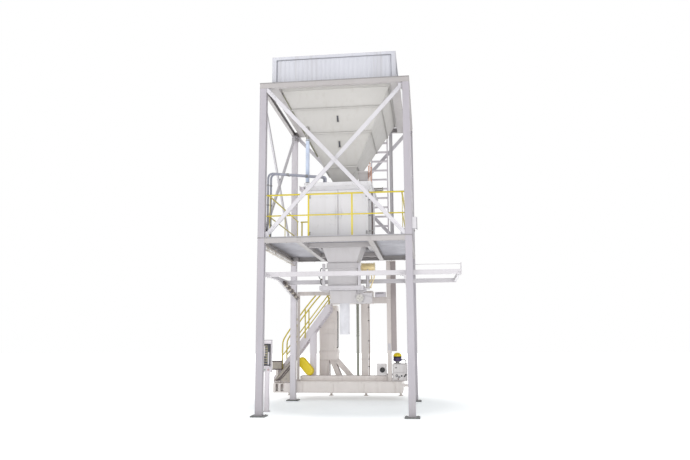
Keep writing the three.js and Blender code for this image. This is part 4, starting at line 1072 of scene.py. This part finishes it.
def ladder_details():
    """Rung nosings with studs, and the brackets that hold the ladder's stiles."""
    low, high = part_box("ladder")
    treads, brackets = Kit(), Kit()
    middle = (low.y + high.y) / 2
    pitch = 0.28
    z = low.z + pitch - 0.0005
    while z < high.z - 0.1:
        treads.block((low.x + 0.036, low.y - 0.001, z + 0.012), (high.x - 0.036, low.y + 0.006, z + 0.024), 0.002)
        for x in spread(low.x + 0.09, high.x - 0.09, 5):
            stud = V(x, middle, z + 0.0215)
            treads.rod(stud + LEFT * 0.025, stud + RIGHT * 0.025, 0.006, 8, 0.002)
        z += pitch
    treads.piece("ladder_nosings", "lavender")
    for x in (low.x + 0.0175, high.x - 0.0175):
        for z in (low.z + 0.004, high.z - 0.06):
            brackets.block((x - 0.045, high.y - 0.002, z), (x + 0.045, high.y + 0.006, z + 0.055), 0.002)
            for s in BOTH:
                brackets.bolt(V(x + s * 0.032, high.y + 0.006, z + 0.028), BACK, 0.007)
    brackets.piece("ladder_brackets", "zinc")


lid_pipes()
bellows()
guard_rails()
ladder_details()

# ------------------------------------------------------------------ below the deck


def funnel_details():
    """Flange bolts of the funnel."""
    low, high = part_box("discharge_funnel")
    centre = V((low.x + high.x) / 2, (low.y + high.y) / 2, 4.232)
    bolts = Kit()
    for reach in (-0.585, 0.585):
        for offset in spread(-0.48, 0.48, 7):
            bolts.bolt(centre + V(offset, reach, 0), -UP, 0.009)
            bolts.bolt(centre + V(reach, offset, 0), -UP, 0.009)
    bolts.piece("funnel_flange_bolts", "zinc")


def valve_drum():
    """The valve's drive: a ribbed golden drum with end flanges, and two golden bends down from it."""
    low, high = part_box("valve_actuator")
    centre = V(low.x, (low.y + high.y) / 2, (low.z + high.z) / 2)
    outer = (high.z - low.z) / 2
    length = high.x - low.x
    root, crest = outer - 0.022, outer - 0.008
    profile = [(0.045, 0.0), (0.045, 0.05), (outer, 0.055), (outer, 0.075), (root, 0.08)]
    pitch = 0.042
    position = 0.095
    while position + pitch < length - 0.05:
        profile += [
            (root, position), (crest, position + 0.006), (crest, position + 0.020), (root, position + 0.026),
        ]
        position += pitch
    profile += [(root, length - 0.035), (outer, length - 0.030), (outer, length - 0.010), (outer - 0.012, length)]
    drum, bolts = Kit(), Kit()
    drum.turned(centre, centre + RIGHT, profile, 36)
    drum.piece("valve_drum", "brass", replaces=("valve_actuator",))
    for k in range(8):
        angle = math.pi * k / 4
        spot = V(high.x - 0.002, centre.y + math.cos(angle) * 0.085, centre.z + math.sin(angle) * 0.085)
        bolts.bolt(spot, RIGHT, 0.009, 0.5)
    bolts.piece("valve_drum_bolts", "zinc")
    for number, (y, drop) in enumerate(((-0.09, 3.10), (0.06, 3.22))):
        bend = Kit()
        start = V(high.x - 0.06 - number * 0.08, centre.y + y, centre.z - outer + 0.02)
        foot = V(start.x - 0.05, start.y, drop)
        path = [start, start - UP * 0.05, start + V(0.05, 0, -0.13), start + V(0.02, 0, -0.24), foot]
        bend.tube(path, 0.016, 14, 6)
        bend.rod(start + UP * 0.005, start - UP * 0.03, 0.024, 16)
        bend.rod(foot + UP * 0.02, foot - UP * 0.02, 0.024, 16)
        bend.piece(f"valve_bend_{number}", "brass")


def clamp_details():
    """Cylinder caps, tie rods and bolts of the clamp frame, with bent pipes on its left."""
    low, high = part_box("clamp_frame")
    caps, bolts = Kit(), Kit()
    cylinder = at(0.640, -0.250, 0)
    for z in (low.z + 0.046, 3.385):
        cap = cylinder + UP * z
        caps.block(cap - V(0.046, 0.046, 0), cap + V(0.046, 0.046, 0.034), 0.006)
    for dx in (-0.036, 0.036):
        for dy in (-0.036, 0.036):
            a = cylinder + V(dx, dy, low.z + 0.05)
            caps.rod(a, a + UP * 0.36, 0.005, 8)
    caps.piece("clamp_cylinder_caps", "steel")
    for x in spread(low.x + 0.07, low.x + 1.08, 8):
        bolts.bolt(V(x, low.y, low.z + 0.030), FRONT, 0.009)
        bolts.bolt(V(x, high.y, low.z + 0.030), BACK, 0.009)
    bolts.piece("clamp_bolts", "white")
    pipes = ((-0.50, -0.40, 3.56, 0.055), (-0.56, -0.36, 3.44, 0.045), (-0.50, -0.42, 3.28, 0.05))
    for number, (x, y, z, reach) in enumerate(pipes):
        loop, ends = Kit(), Kit()
        a = at(x, y, z)
        b = a - UP * 0.14
        loop.tube([
            a, a + V(-reach, -0.02, 0.02), a + V(-reach * 1.5, -0.03, -0.05),
            a + V(-reach * 0.9, -0.02, -0.12), b,
        ], 0.011, 12, 6)
        loop.piece(f"clamp_pipe_{number}", "rubber")
        for p in (a, b):
            ends.rod(p + LEFT * 0.02, p + RIGHT * 0.035, 0.017, 12)
        ends.piece(f"clamp_pipe_{number}_ends", "brass")


def filling_head():
    """Bolted flanges round the head arm, its end plate, and the filling tube itself."""
    bolts, tube, band = Kit(), Kit(), Kit()
    low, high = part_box("head_arm")
    for y in spread(low.y + 0.20, high.y - 0.20, 7):
        for z in (2.86, 3.06):
            bolts.bolt(V(low.x, y, z), LEFT, 0.012)
    hub_low, hub_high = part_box("sheave")
    hub = V((hub_low.x + hub_high.x) / 2, at_y(-0.334), (hub_low.z + hub_high.z) / 2)
    for k in range(5):
        angle = math.radians(18 + 72 * k)
        bolts.bolt(hub + V(math.cos(angle) * 0.122, 0, math.sin(angle) * 0.122), FRONT, 0.008)
    bolts.piece("head_arm_bolts", "duct")
    tube_low, tube_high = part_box("fill_tube")
    centre = V((tube_low.x + tube_high.x) / 2, (tube_low.y + tube_high.y) / 2, tube_low.z)
    length = tube_high.z - tube_low.z
    sides, folds = 96, 24
    outer = 0.128
    rings = []
    for distance, radius, fold in (
        (0.0, outer, 0.0022), (0.006, outer + 0.004, 0.0012), (0.045, outer + 0.004, 0.0012),
        (0.050, outer, 0.0022), (0.30, outer - 0.002, 0.0036), (0.60, outer, 0.0036),
        (length - 0.10, outer - 0.002, 0.0022), (length - 0.05, outer - 0.003, 0.0),
        (length - 0.014, outer - 0.003, 0.0), (length - 0.012, 0.147, 0.0),
        (length, 0.147, 0.0), (length, 0.100, 0.0), (0.0, 0.112, 0.0),
    ):
        ring = []
        for k in range(sides):
            angle = 2 * math.pi * k / sides
            r = radius + fold * math.sin(angle * folds)
            ring.append(centre + V(math.cos(angle) * r, math.sin(angle) * r, distance))
        rings.append(ring)
    tube._rings(rings, closed=True)
    tube.piece("fill_tube_sleeve", "sleeve", replaces=("fill_tube",))
    band_low, band_high = length - 0.10, length - 0.075
    band.rod(centre + UP * band_low, centre + UP * band_high, outer + 0.004, 48, 0.003)
    front = centre + FRONT * outer
    band.block(front + V(-0.03, -0.018, band_low), front + V(0.03, 0.002, band_high), 0.003)
    band.piece("fill_tube_clamp", "zinc")


funnel_details()
valve_drum()
clamp_details()
filling_head()

# ------------------------------------------------------------------ packing station


def pedestal_details():
    """Bolt rows, side plates, floor bolts and the clipped conduit of the pedestal."""
    low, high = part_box("pedestal")
    plates, bolts, conduit, clips = (Kit() for _ in range(4))
    front = low.y
    for z in (1.130, 1.375):
        for x in spread(at_x(-1.14), at_x(-0.65), 8):
            bolts.bolt(V(x, front, z), FRONT, 0.010)
    y = front + 0.025
    for x0, x1, z0, z1 in (
        (-1.10, -0.70, 1.47, 1.93), (-1.11, -0.70, 2.03, 2.30), (-0.98, -0.68, 2.38, 2.70),
    ):
        a, b = at_x(x0), at_x(x1)
        plates.block((a, y - 0.010, z0), (b, y + 0.004, z1), 0.005)
        for x in spread(a + 0.03, b - 0.03, 5):
            for z in (z0 + 0.03, z1 - 0.03):
                bolts.bolt(V(x, y - 0.010, z), FRONT, 0.008)
    plates.block((at_x(-1.15), front + 0.013, 0.62), (at_x(-0.92), front + 0.027, 1.04), 0.005)
    for x in map(at_x, (-1.15, -0.85, -0.45, -0.20, 0.02)):
        for y in (low.y + 0.08, high.y - 0.08):
            bolts.bolt(V(x, y, low.z + 0.026), UP, 0.013)
    plates.piece("pedestal_plates", "machine")
    bolts.piece("pedestal_bolts", "machine")
    corners = [at(x, 3.17, z) for x, z in ((-0.66, 2.60), (-0.602, 2.60), (-0.602, 1.50), (-0.66, 1.50))]
    conduit.tube(rounded(corners, 0.05), 0.014, 12, 1)
    conduit.piece("pedestal_conduit", "rubber")
    for z in (1.75, 2.05, 2.35):
        clips.block(at(-0.640, 3.150, z - 0.010), at(-0.584, 3.190, z + 0.010), 0.003)
    clips.piece("pedestal_conduit_clips", "zinc")


def skid_details():
    """Top lips, frames round the fork slots, stiffeners and the two rows of bolts."""
    left, right = at_x(-2.385), at_x(1.395)
    front = at_y(2.075)
    lips, bolts = Kit(), Kit()
    lips.block((at_x(-1.66), front - 0.004, 0.522), (right - 0.01, front + 0.001, 0.546), 0.003)
    lips.block((left + 0.01, front - 0.004, 0.215), (right - 0.01, front + 0.001, 0.235), 0.003)
    slot_low, slot_high = 0.248, 0.484
    edge = 0.014
    for x0, x1 in ((-2.310, -2.240), (-2.160, -2.070)):
        a, b = at_x(x0), at_x(x1)
        for u0, u1, z0, z1 in (
            (a - edge, a, slot_low, slot_high), (b, b + edge, slot_low, slot_high),
            (a, b, slot_low, slot_low + edge), (a, b, slot_high - edge, slot_high),
        ):
            lips.block((u0, front - 0.006, z0), (u1, front + 0.001, z1), 0.002)
    for x in map(at_x, (-1.50, -0.60, 0.30, 1.20)):
        lips.block((x - 0.006, front - 0.014, 0.236), (x + 0.006, front + 0.001, 0.520), 0.002)
    lips.piece("skid_lips", "machine")
    for x in spread(at_x(-1.55), at_x(0.87), 12):
        bolts.bolt(V(x, at_y(2.295), 0.625), FRONT, 0.010)
    for x in spread(at_x(-1.58), at_x(1.345), 14):
        bolts.bolt(V(x, front, 0.500), FRONT, 0.009)
    bolts.piece("skid_bolts", "machine")


def portal_details():
    """Flange joints, a blank plate, the box with a blank strip, a thin brown pipe and its clips."""
    plates, bolts, cover, blank, box, strip, pipe, clips = (Kit() for _ in range(8))
    front = at_y(2.135)
    a, b = at_x(0.985), at_x(1.105)
    for z in (0.560, 4.025, 2.885):
        plates.block((a - 0.012, front - 0.012, z), (b + 0.012, front + 0.001, z + 0.022), 0.003)
        for x in (a + 0.02, b - 0.02):
            bolts.bolt(V(x, front - 0.012, z + 0.011), FRONT, 0.007)
    plates.piece("portal_flanges", "machine")
    bolts.piece("portal_bolts", "zinc")
    cover.block(at(1.112, 2.150, 1.412), at(1.256, 2.157, 4.020), 0.003)
    cover.piece("duct_cover", "duct_brown")
    a = at_x(1.005)
    blank.block((a, front - 0.005, 1.428), (a + 0.08, front + 0.001, 1.625), 0.002)
    blank.piece("blank_plate", "white")
    a, b, y = at_x(0.645), at_x(0.955), at_y(2.150)
    box.block((a, y - 0.012, 2.980), (b, y + 0.001, 3.118), 0.006)
    box.block((a + 0.02, y - 0.018, 3.0), (b - 0.02, y - 0.010, 3.05), 0.003)
    box.piece("portal_box_lid", "lavender")
    strip.block((a + 0.03, y - 0.017, 3.082), (b - 0.06, y - 0.011, 3.100), 0.002)
    strip.piece("blank_strip", "dark")
    x, y = at_x(0.422), at_y(2.56)
    pipe.rod(V(x, y, 0.695), V(x, y, 2.797), 0.016, 14)
    pipe.piece("post_pipe", "post_brown")
    for z in (0.95, 1.165, 1.7, 2.3, 2.7):
        clips.block((x - 0.036, y - 0.019, z - 0.012), (x + 0.019, y + 0.019, z + 0.012), 0.003)
    clips.piece("post_pipe_clips", "dark")


def end_plate():
    """A raking plate at the skid's left end, with a folded edge, bolts and two pipes along it."""
    face = at_y(2.090)
    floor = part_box("portal_frame")[0].z
    corners = ((-2.375, 0.004), (-2.260, 0.130), (-1.900, 0.560), (-1.700, 0.560), (-1.700, 0.004))
    outline = [V(at_x(x), face, floor + z) for x, z in corners]
    plate, pipes, bolts = Kit(), Kit(), Kit()
    plate.sheet(outline, BACK, 0.012)
    for a, b in zip(outline, outline[1:3]):
        plate.bar(a, b, 0.060, 0.010, BACK, 0.003)
    plate.piece("raking_end_plate", "tray_beige")
    for drop, radius in ((0.10, 0.016), (0.17, 0.012)):
        ends = [V(p.x + drop, face - radius, p.z - 0.01) for p in outline[:3]]
        ends[0].z += 0.03
        pipes.tube(rounded(ends, 0.06), radius, 12, 1)
        for end in (ends[0], ends[2]):
            pipes.block(end - V(0.028, 0.022, 0.022), end + V(0.028, radius, 0.022), 0.004)
    pipes.piece("end_plate_pipes", "umber")
    for x, z in ((-1.76, 0.08), (-1.76, 0.27), (-1.76, 0.46), (-2.0, 0.06), (-2.2, 0.06)):
        bolts.bolt(V(at_x(x), face, floor + z), FRONT, 0.011)
    bolts.piece("end_plate_bolts", "zinc")


def knee_lines():
    """Rigid pipes and valve blocks along the left knee of the track."""
    a = at(-1.585, -0.500, 3.290)
    b = at(-1.585, 1.86, 2.905)
    way = (b - a).normalized()
    over = RIGHT.cross(way).normalized()
    if over.z < 0:
        over = -over
    pipes = Kit()
    for shift, lift, radius in ((0.0, 0.020, 0.020), (0.042, 0.0, 0.014), (0.0, -0.035, 0.014)):
        offset = V(shift, 0, 0) + over * lift
        pipes.rod(a.lerp(b, 0.10) + offset, a.lerp(b, 0.92) + offset, radius, 14, 0.003)
    pipes.piece("knee_pipes", "umber")
    blocks = Kit()
    for share in (0.22, 0.40, 0.58, 0.76):
        spot = a.lerp(b, share)
        blocks.bar(spot - way * 0.05, spot + way * 0.05, 0.10, 0.11, RIGHT, 0.006)
        blocks.rod(spot + over * 0.05, spot + over * 0.095, 0.026, 14)
    blocks.piece("knee_valve_blocks", "tray_beige")


def chain_details():
    """A ribbed hose above a plain tube, with a collar between them, beside the post."""
    low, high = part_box("cable_chain")
    centre = V((low.x + high.x) / 2, (low.y + high.y) / 2 + 0.012, low.z)
    length = high.z - low.z
    root, crest = 0.034, 0.043
    profile = [(0.038, 0.0), (0.038, 1.14), (0.044, 1.145), (0.044, 1.20), (0.036, 1.205)]
    pitch = 0.030
    position = 1.22
    while position + pitch < length - 0.06:
        profile += [(root, position), (crest, position + pitch * 0.35), (crest, position + pitch * 0.65)]
        position += pitch
    profile += [(root, position), (0.044, length - 0.05), (0.044, length)]
    hose = Kit()
    hose.turned(centre, centre + UP, profile, 24)
    hose.piece("post_hose", "grey_green", replaces=("cable_chain",))


def drive_details():
    """A pressed obround cover with a rim flange and bolts."""
    low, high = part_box("drive_guard")
    radius, rim = 0.130, 0.012
    a = V(low.x + radius + rim, low.y, high.z - radius - rim)
    b = V(high.x - radius - rim, low.y, low.z + radius + rim)
    side = (b - a).normalized()
    normal = V(-side.z, 0, side.x)

    def obround(r, y, steps=12):
        out = []
        for end, turn in ((a, math.pi / 2), (b, -math.pi / 2)):
            for k in range(steps + 1):
                angle = turn + math.pi * k / steps
                out.append(V(end.x, y, end.z) + (side * math.cos(angle) + normal * math.sin(angle)) * r)
        return out

    cover, bolts = Kit(), Kit()
    cover._rings([obround(r, y) for r, y in (
        (radius - 0.030, low.y + 0.001), (radius - 0.014, low.y + 0.004), (radius, low.y + 0.020),
        (radius, high.y - 0.012), (radius + rim, high.y - 0.012), (radius + rim, high.y - 0.001),
    )])
    cover.piece("drive_cover", "guard", replaces=("drive_guard",))
    for spot in obround(radius - 0.030, low.y + 0.004, 4):
        bolts.bolt(spot, FRONT, 0.006, 0.4)
    bolts.piece("drive_cover_bolts", "zinc")


def motor_details():
    """A finned motor body with end shields, on its leg and foot plate."""
    low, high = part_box("motor_box")
    body, trim, leg = Kit(), Kit(), Kit()
    foot = low.z + 0.37
    body.block((low.x + 0.012, low.y + 0.012, foot + 0.03), (high.x - 0.012, high.y - 0.005, high.z - 0.03), 0.012)
    for z in spread(foot + 0.045, high.z - 0.055, 7):
        body.block((low.x + 0.004, low.y + 0.004, z), (high.x - 0.004, high.y - 0.004, z + 0.008), 0.002)
    body.piece("motor_body", "tray_beige", replaces=("motor_box",))
    for z0, z1 in ((high.z - 0.032, high.z), (foot, foot + 0.032)):
        trim.block((low.x, low.y, z0), (high.x, high.y - 0.002, z1), 0.008)
    trim.piece("motor_end_shields", "umber")
    x = (low.x + high.x) / 2
    leg.block((x - 0.04, low.y + 0.02, low.z + 0.001), (x + 0.04, high.y - 0.02, foot + 0.001), 0.006)
    leg.block((x - 0.10, low.y + 0.01, low.z + 0.001), (x + 0.10, high.y - 0.006, low.z + 0.014), 0.003)
    leg.piece("motor_leg", "machine")


def gear_details():
    """Valve cabinet with dials and knobs, and a violet drive with a yellow cap, with its hose."""
    white, dark, rims, knob, stem, body, shade, cap, lead, gland = (Kit() for _ in range(10))
    for a, b, bend in (
        ((0.655, 2.207, 0.714), (0.950, 2.330, 1.050), 0.010), ((1.120, 2.160, 0.549), (1.545, 2.540, 1.045), 0.012),
        ((1.150, 2.146, 0.580), (1.520, 2.165, 0.780), 0.004), ((1.150, 2.146, 0.800), (1.520, 2.165, 1.020), 0.004),
        ((0.900, 2.320, 0.700), (1.160, 2.358, 0.760), 0.004), ((0.700, 2.320, 0.700), (0.760, 2.358, 0.760), 0.004),
    ):
        white.block(at(*a), at(*b), bend)
    white.piece("drive_cabinet", "speckle", replaces=("gear_unit",))
    faced = ((1.245, 0.705, 0.036), (1.315, 0.665, 0.030))
    for x, z, r in (*faced, (1.385, 0.700, 0.024), (1.225, 0.930, 0.020)):
        p = at(x, 2.1455, z)
        dark.turned(p + BACK * 0.004, p + FRONT, [(r, 0), (r, 0.008), (r * 0.8, 0.011)], 20)
    for x, z in ((1.470, 0.690), (1.505, 0.730)):
        p = at(x, 2.148, z)
        dark.rod(p, p + FRONT * 0.012, 0.026, 16, 0.004)
    dark.piece("cabinet_dials", "black_plastic")
    for x, z, r in faced:
        p = at(x, 2.1400, z)
        rims.turned(p, p + FRONT, [(r * 0.6, 0), (r * 0.6, 0.002), (r * 0.5, 0.0025)], 18)
    rims.piece("dial_faces", "white")
    p = at(1.285, 2.150, 0.610)
    knob.rod(p, p + FRONT * 0.012, 0.020, 16, 0.003)
    knob.piece("cabinet_knob", "post_brown")
    foot = at(1.262, 2.395, 1.043)
    stem.turned(foot, foot + UP, [
        (0.10, 0), (0.10, 0.015), (0.055, 0.02), (0.055, 0.05), (0.085, 0.055), (0.085, 0.07),
    ], 28)
    stem.piece("drive_neck", "zinc")
    body.turned(foot + UP * 0.068, foot + UP, [
        (0.105, 0), (0.122, 0.012), (0.122, 0.070), (0.118, 0.074), (0.118, 0.10),
    ], 32)
    fins = 16
    for k in range(fins):
        angle = 2 * math.pi * k / fins
        spot = foot + UP * 0.085 + V(math.cos(angle), math.sin(angle), 0) * 0.119
        body.bar(spot, spot + UP * 0.055, 0.007, 0.012, V(-math.sin(angle), math.cos(angle), 0), 0.002)
    body.piece("drive_motor", "violet")
    shade.turned(foot + UP * 0.165, foot + UP, [
        (0.120, 0), (0.124, 0.006), (0.124, 0.038), (0.110, 0.042),
    ], 32)
    shade.piece("drive_collar", "black_plastic")
    profile = [(0.124, 0.0), (0.124, 0.018)]
    for k in range(1, 8):
        angle = math.pi / 2 * k / 8
        profile.append((0.124 * math.cos(angle) + 0.002, 0.018 + 0.088 * math.sin(angle)))
    profile.append((0.010, 0.106))
    cap.turned(foot + UP * 0.206, foot + UP, profile, 32)
    cap.piece("drive_cap", "guard")
    a = foot + V(0.118, -0.02, 0.11)
    lead.tube([
        a, a + V(0.05, -0.01, 0.010), a + V(0.10, -0.03, 0.0), a + V(0.125, -0.04, -0.04),
        a + V(0.127, -0.04, -0.113),
    ], 0.011, 12, 6)
    lead.piece("drive_conduit", "rubber")
    entry = V(a.x + 0.127, a.y - 0.04, foot.z)
    gland.rod(entry, entry + UP * 0.022, 0.018, 12)
    gland.piece("drive_conduit_gland", "zinc")


def stand_details():
    """A framed window with a chart, panes and marks, a latch, and the roof and foot bolts of the stand."""
    low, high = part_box("panel_door")
    bezel, field, chart, panes, marks, latch, bolts, roof = (Kit() for _ in range(8))
    y = low.y
    rim = 0.018
    x0, x1 = low.x + 0.014, high.x - 0.006
    z0, z1 = low.z + 0.035, high.z - 0.088
    for u0, u1, v0, v1 in (
        (x0, x1, z1 - rim, z1), (x0, x1, z0, z0 + rim),
        (x0, x0 + rim, z0 + rim, z1 - rim), (x1 - rim, x1, z0 + rim, z1 - rim),
    ):
        bezel.block((u0, y - 0.012, v0), (u1, y + 0.001, v1), 0.004)
    bezel.piece("window_bezel", "black_plastic", "panel_leaf")
    field.block((x0 + 0.012, y - 0.0045, z0 + 0.012), (x1 - 0.012, y + 0.001, z1 - 0.012), 0.001)
    field.piece("window_field", "dark", "panel_leaf")

    def across(share):
        return x0 + share * (x1 - x0)

    chart.block((across(0.44), y - 0.006, z0 + 0.10), (across(0.62), y - 0.003, z1 - 0.06), 0.001)
    chart.piece("window_chart", "olive", "panel_leaf")
    panes.block((across(0.64), y - 0.007, z0 + 0.03), (across(0.84), y - 0.003, z1 - 0.20), 0.001)
    panes.block((across(0.16), y - 0.006, z0 + 0.24), (across(0.30), y - 0.003, z1 - 0.05), 0.001)
    panes.piece("window_panes", "white", "panel_leaf")
    for z in spread(z0 + 0.05, z1 - 0.05, 8):
        marks.block((across(0.14), y - 0.0068, z), (across(0.60), y - 0.005, z + 0.006), 0.001)
    marks.piece("window_marks", "brass", "panel_leaf")
    latch.block((high.x - 0.030, y - 0.006, low.z + 0.006), (high.x - 0.012, y + 0.012, low.z + 0.030), 0.003)
    latch.piece("door_latch", "zinc", "panel_leaf")
    a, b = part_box("control_stand")
    centre = (a + b) / 2
    for dx in (-0.068, 0.068):
        for dy in (-0.064, 0.064):
            bolts.bolt(V(centre.x + dx, centre.y + dy, 0.020), UP, 0.006)
    bolts.piece("stand_foot_bolts", "zinc")
    roof.block((a.x, a.y + 0.030, b.z - 0.001), (b.x, b.y, b.z + 0.010), 0.003)
    roof.piece("stand_roof_trim", "shadow_trim")


def track_details():
    """Bolts at the knees and at the ends of the track."""
    bolts = Kit()
    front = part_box("track_frame")[0].y
    for x in (-1.62, -1.58, 1.56, 1.60, 2.90, 2.94):
        for dz in (-0.03, 0.03):
            bolts.bolt(V(at_x(x), front, 3.255 + dz), FRONT, 0.009)
    bolts.piece("track_bolts", "white")


def junction_details():
    """Lid, screws and cable glands on the junction box."""
    low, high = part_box("junction_box")
    lid, screws = Kit(), Kit()
    x = high.x
    lid.block((x - 0.001, low.y + 0.006, low.z + 0.010), (x + 0.010, high.y - 0.006, high.z - 0.010), 0.004)
    lid.piece("junction_lid", "dark")
    for y in (low.y + 0.018, high.y - 0.018):
        for z in (low.z + 0.022, high.z - 0.022):
            screws.rod(V(x + 0.008, y, z), V(x + 0.013, y, z), 0.006, 10, 0.001)
    for y in spread(low.y + 0.03, high.y - 0.03, 3):
        p = V((low.x + x) / 2, y, low.z + 0.001)
        screws.turned(p, p - UP, [(0.015, 0), (0.015, 0.012), (0.011, 0.014), (0.009, 0.034)], 12)
    screws.piece("junction_glands", "zinc")


pedestal_details()
skid_details()
portal_details()
end_plate()
knee_lines()
chain_details()
drive_details()
motor_details()
gear_details()
stand_details()
track_details()
junction_details()

# ------------------------------------------------------------------ floor and light


def make_floor():
    """A large pale floor with a painted shadow pool: bluish grey round the tower, fading to the white of the studio.
    """
    s = Shader("studio_floor")
    flat = s.node("ShaderNodeMapping", {"Vector": s.place})
    flat.inputs["Scale"].default_value = (1, 1, 0)
    far = s.node("ShaderNodeVectorMath", {0: flat.outputs[0]}, operation="LENGTH").outputs["Value"]
    # painted shadow pool: bluish grey and a weaker glow near the tower, both fading to white further out
    shadow_pool_fade = s.between(far, 2.3, 5.8)
    tone = s.mix(s.between(s.noise(0.6, 5), 0.3, 0.7), linear(222, 229, 232), linear(232, 238, 240))
    colour = s.mix(shadow_pool_fade, tone, linear(255, 255, 255))
    s.set(s.surface.inputs["Emission Color"], (1, 1, 1, 1))
    s.set(s.surface.inputs["Emission Strength"], s.between(far, 2.3, 5.8, 0.30, 0.95))
    look = s.finish(colour, s.between(s.noise(4, 4), 0.3, 0.7, 0.45, 0.6), s.bump(s.noise(90, 2), 0.0005, 0.3))
    mesh = bpy.data.meshes.new("floor")
    half = 60
    corners = [(-half, -half, 0), (half, -half, 0), (half, half, 0), (-half, half, 0)]
    mesh.from_pydata(corners, [], [(0, 1, 2, 3)])
    mesh.materials.append(look)
    floor = bpy.data.objects.new("floor", mesh)
    floor.location.z = -0.001
    bpy.context.scene.collection.objects.link(floor)


def area_light(name, place, target, size, energy, colour=(1, 1, 1)):
    data = bpy.data.lights.new(name, "AREA")
    data.shape = "RECTANGLE"
    data.size = size[0]
    data.size_y = size[1]
    data.energy = energy
    data.color = colour
    light = bpy.data.objects.new(name, data)
    light.location = place
    light.rotation_euler = (target - place).to_track_quat("-Z", "Y").to_euler()
    bpy.context.scene.collection.objects.link(light)


def make_world(strength):
    """White studio surroundings: softer as a light than as the backdrop seen behind the machine."""
    world = bpy.data.worlds.new("studio")
    world.use_nodes = True
    tree = world.node_tree
    soft = tree.nodes["Background"]
    soft.inputs["Color"].default_value = (1, 1, 1, 1)
    soft.inputs["Strength"].default_value = strength
    backdrop = tree.nodes.new("ShaderNodeBackground")
    backdrop.inputs["Color"].default_value = (1, 1, 1, 1)
    backdrop.inputs["Strength"].default_value = 1.0
    seen = tree.nodes.new("ShaderNodeLightPath").outputs["Is Camera Ray"]
    pick = tree.nodes.new("ShaderNodeMixShader")
    tree.links.new(seen, pick.inputs[0])
    tree.links.new(soft.outputs[0], pick.inputs[1])
    tree.links.new(backdrop.outputs[0], pick.inputs[2])
    tree.links.new(pick.outputs[0], tree.nodes["World Output"].inputs["Surface"])
    bpy.context.scene.world = world


make_floor()
make_world(0.68)
area_light("key", at(-7, -12, 11), at(0, 0, 4), (7, 7), 320)
area_light("fill", at(3, -15, 2.5), at(0, 2.5, 1.5), (9, 4), 380)
bpy.context.scene.view_settings.view_transform = "Standard"
bpy.context.scene.view_settings.look = "None"
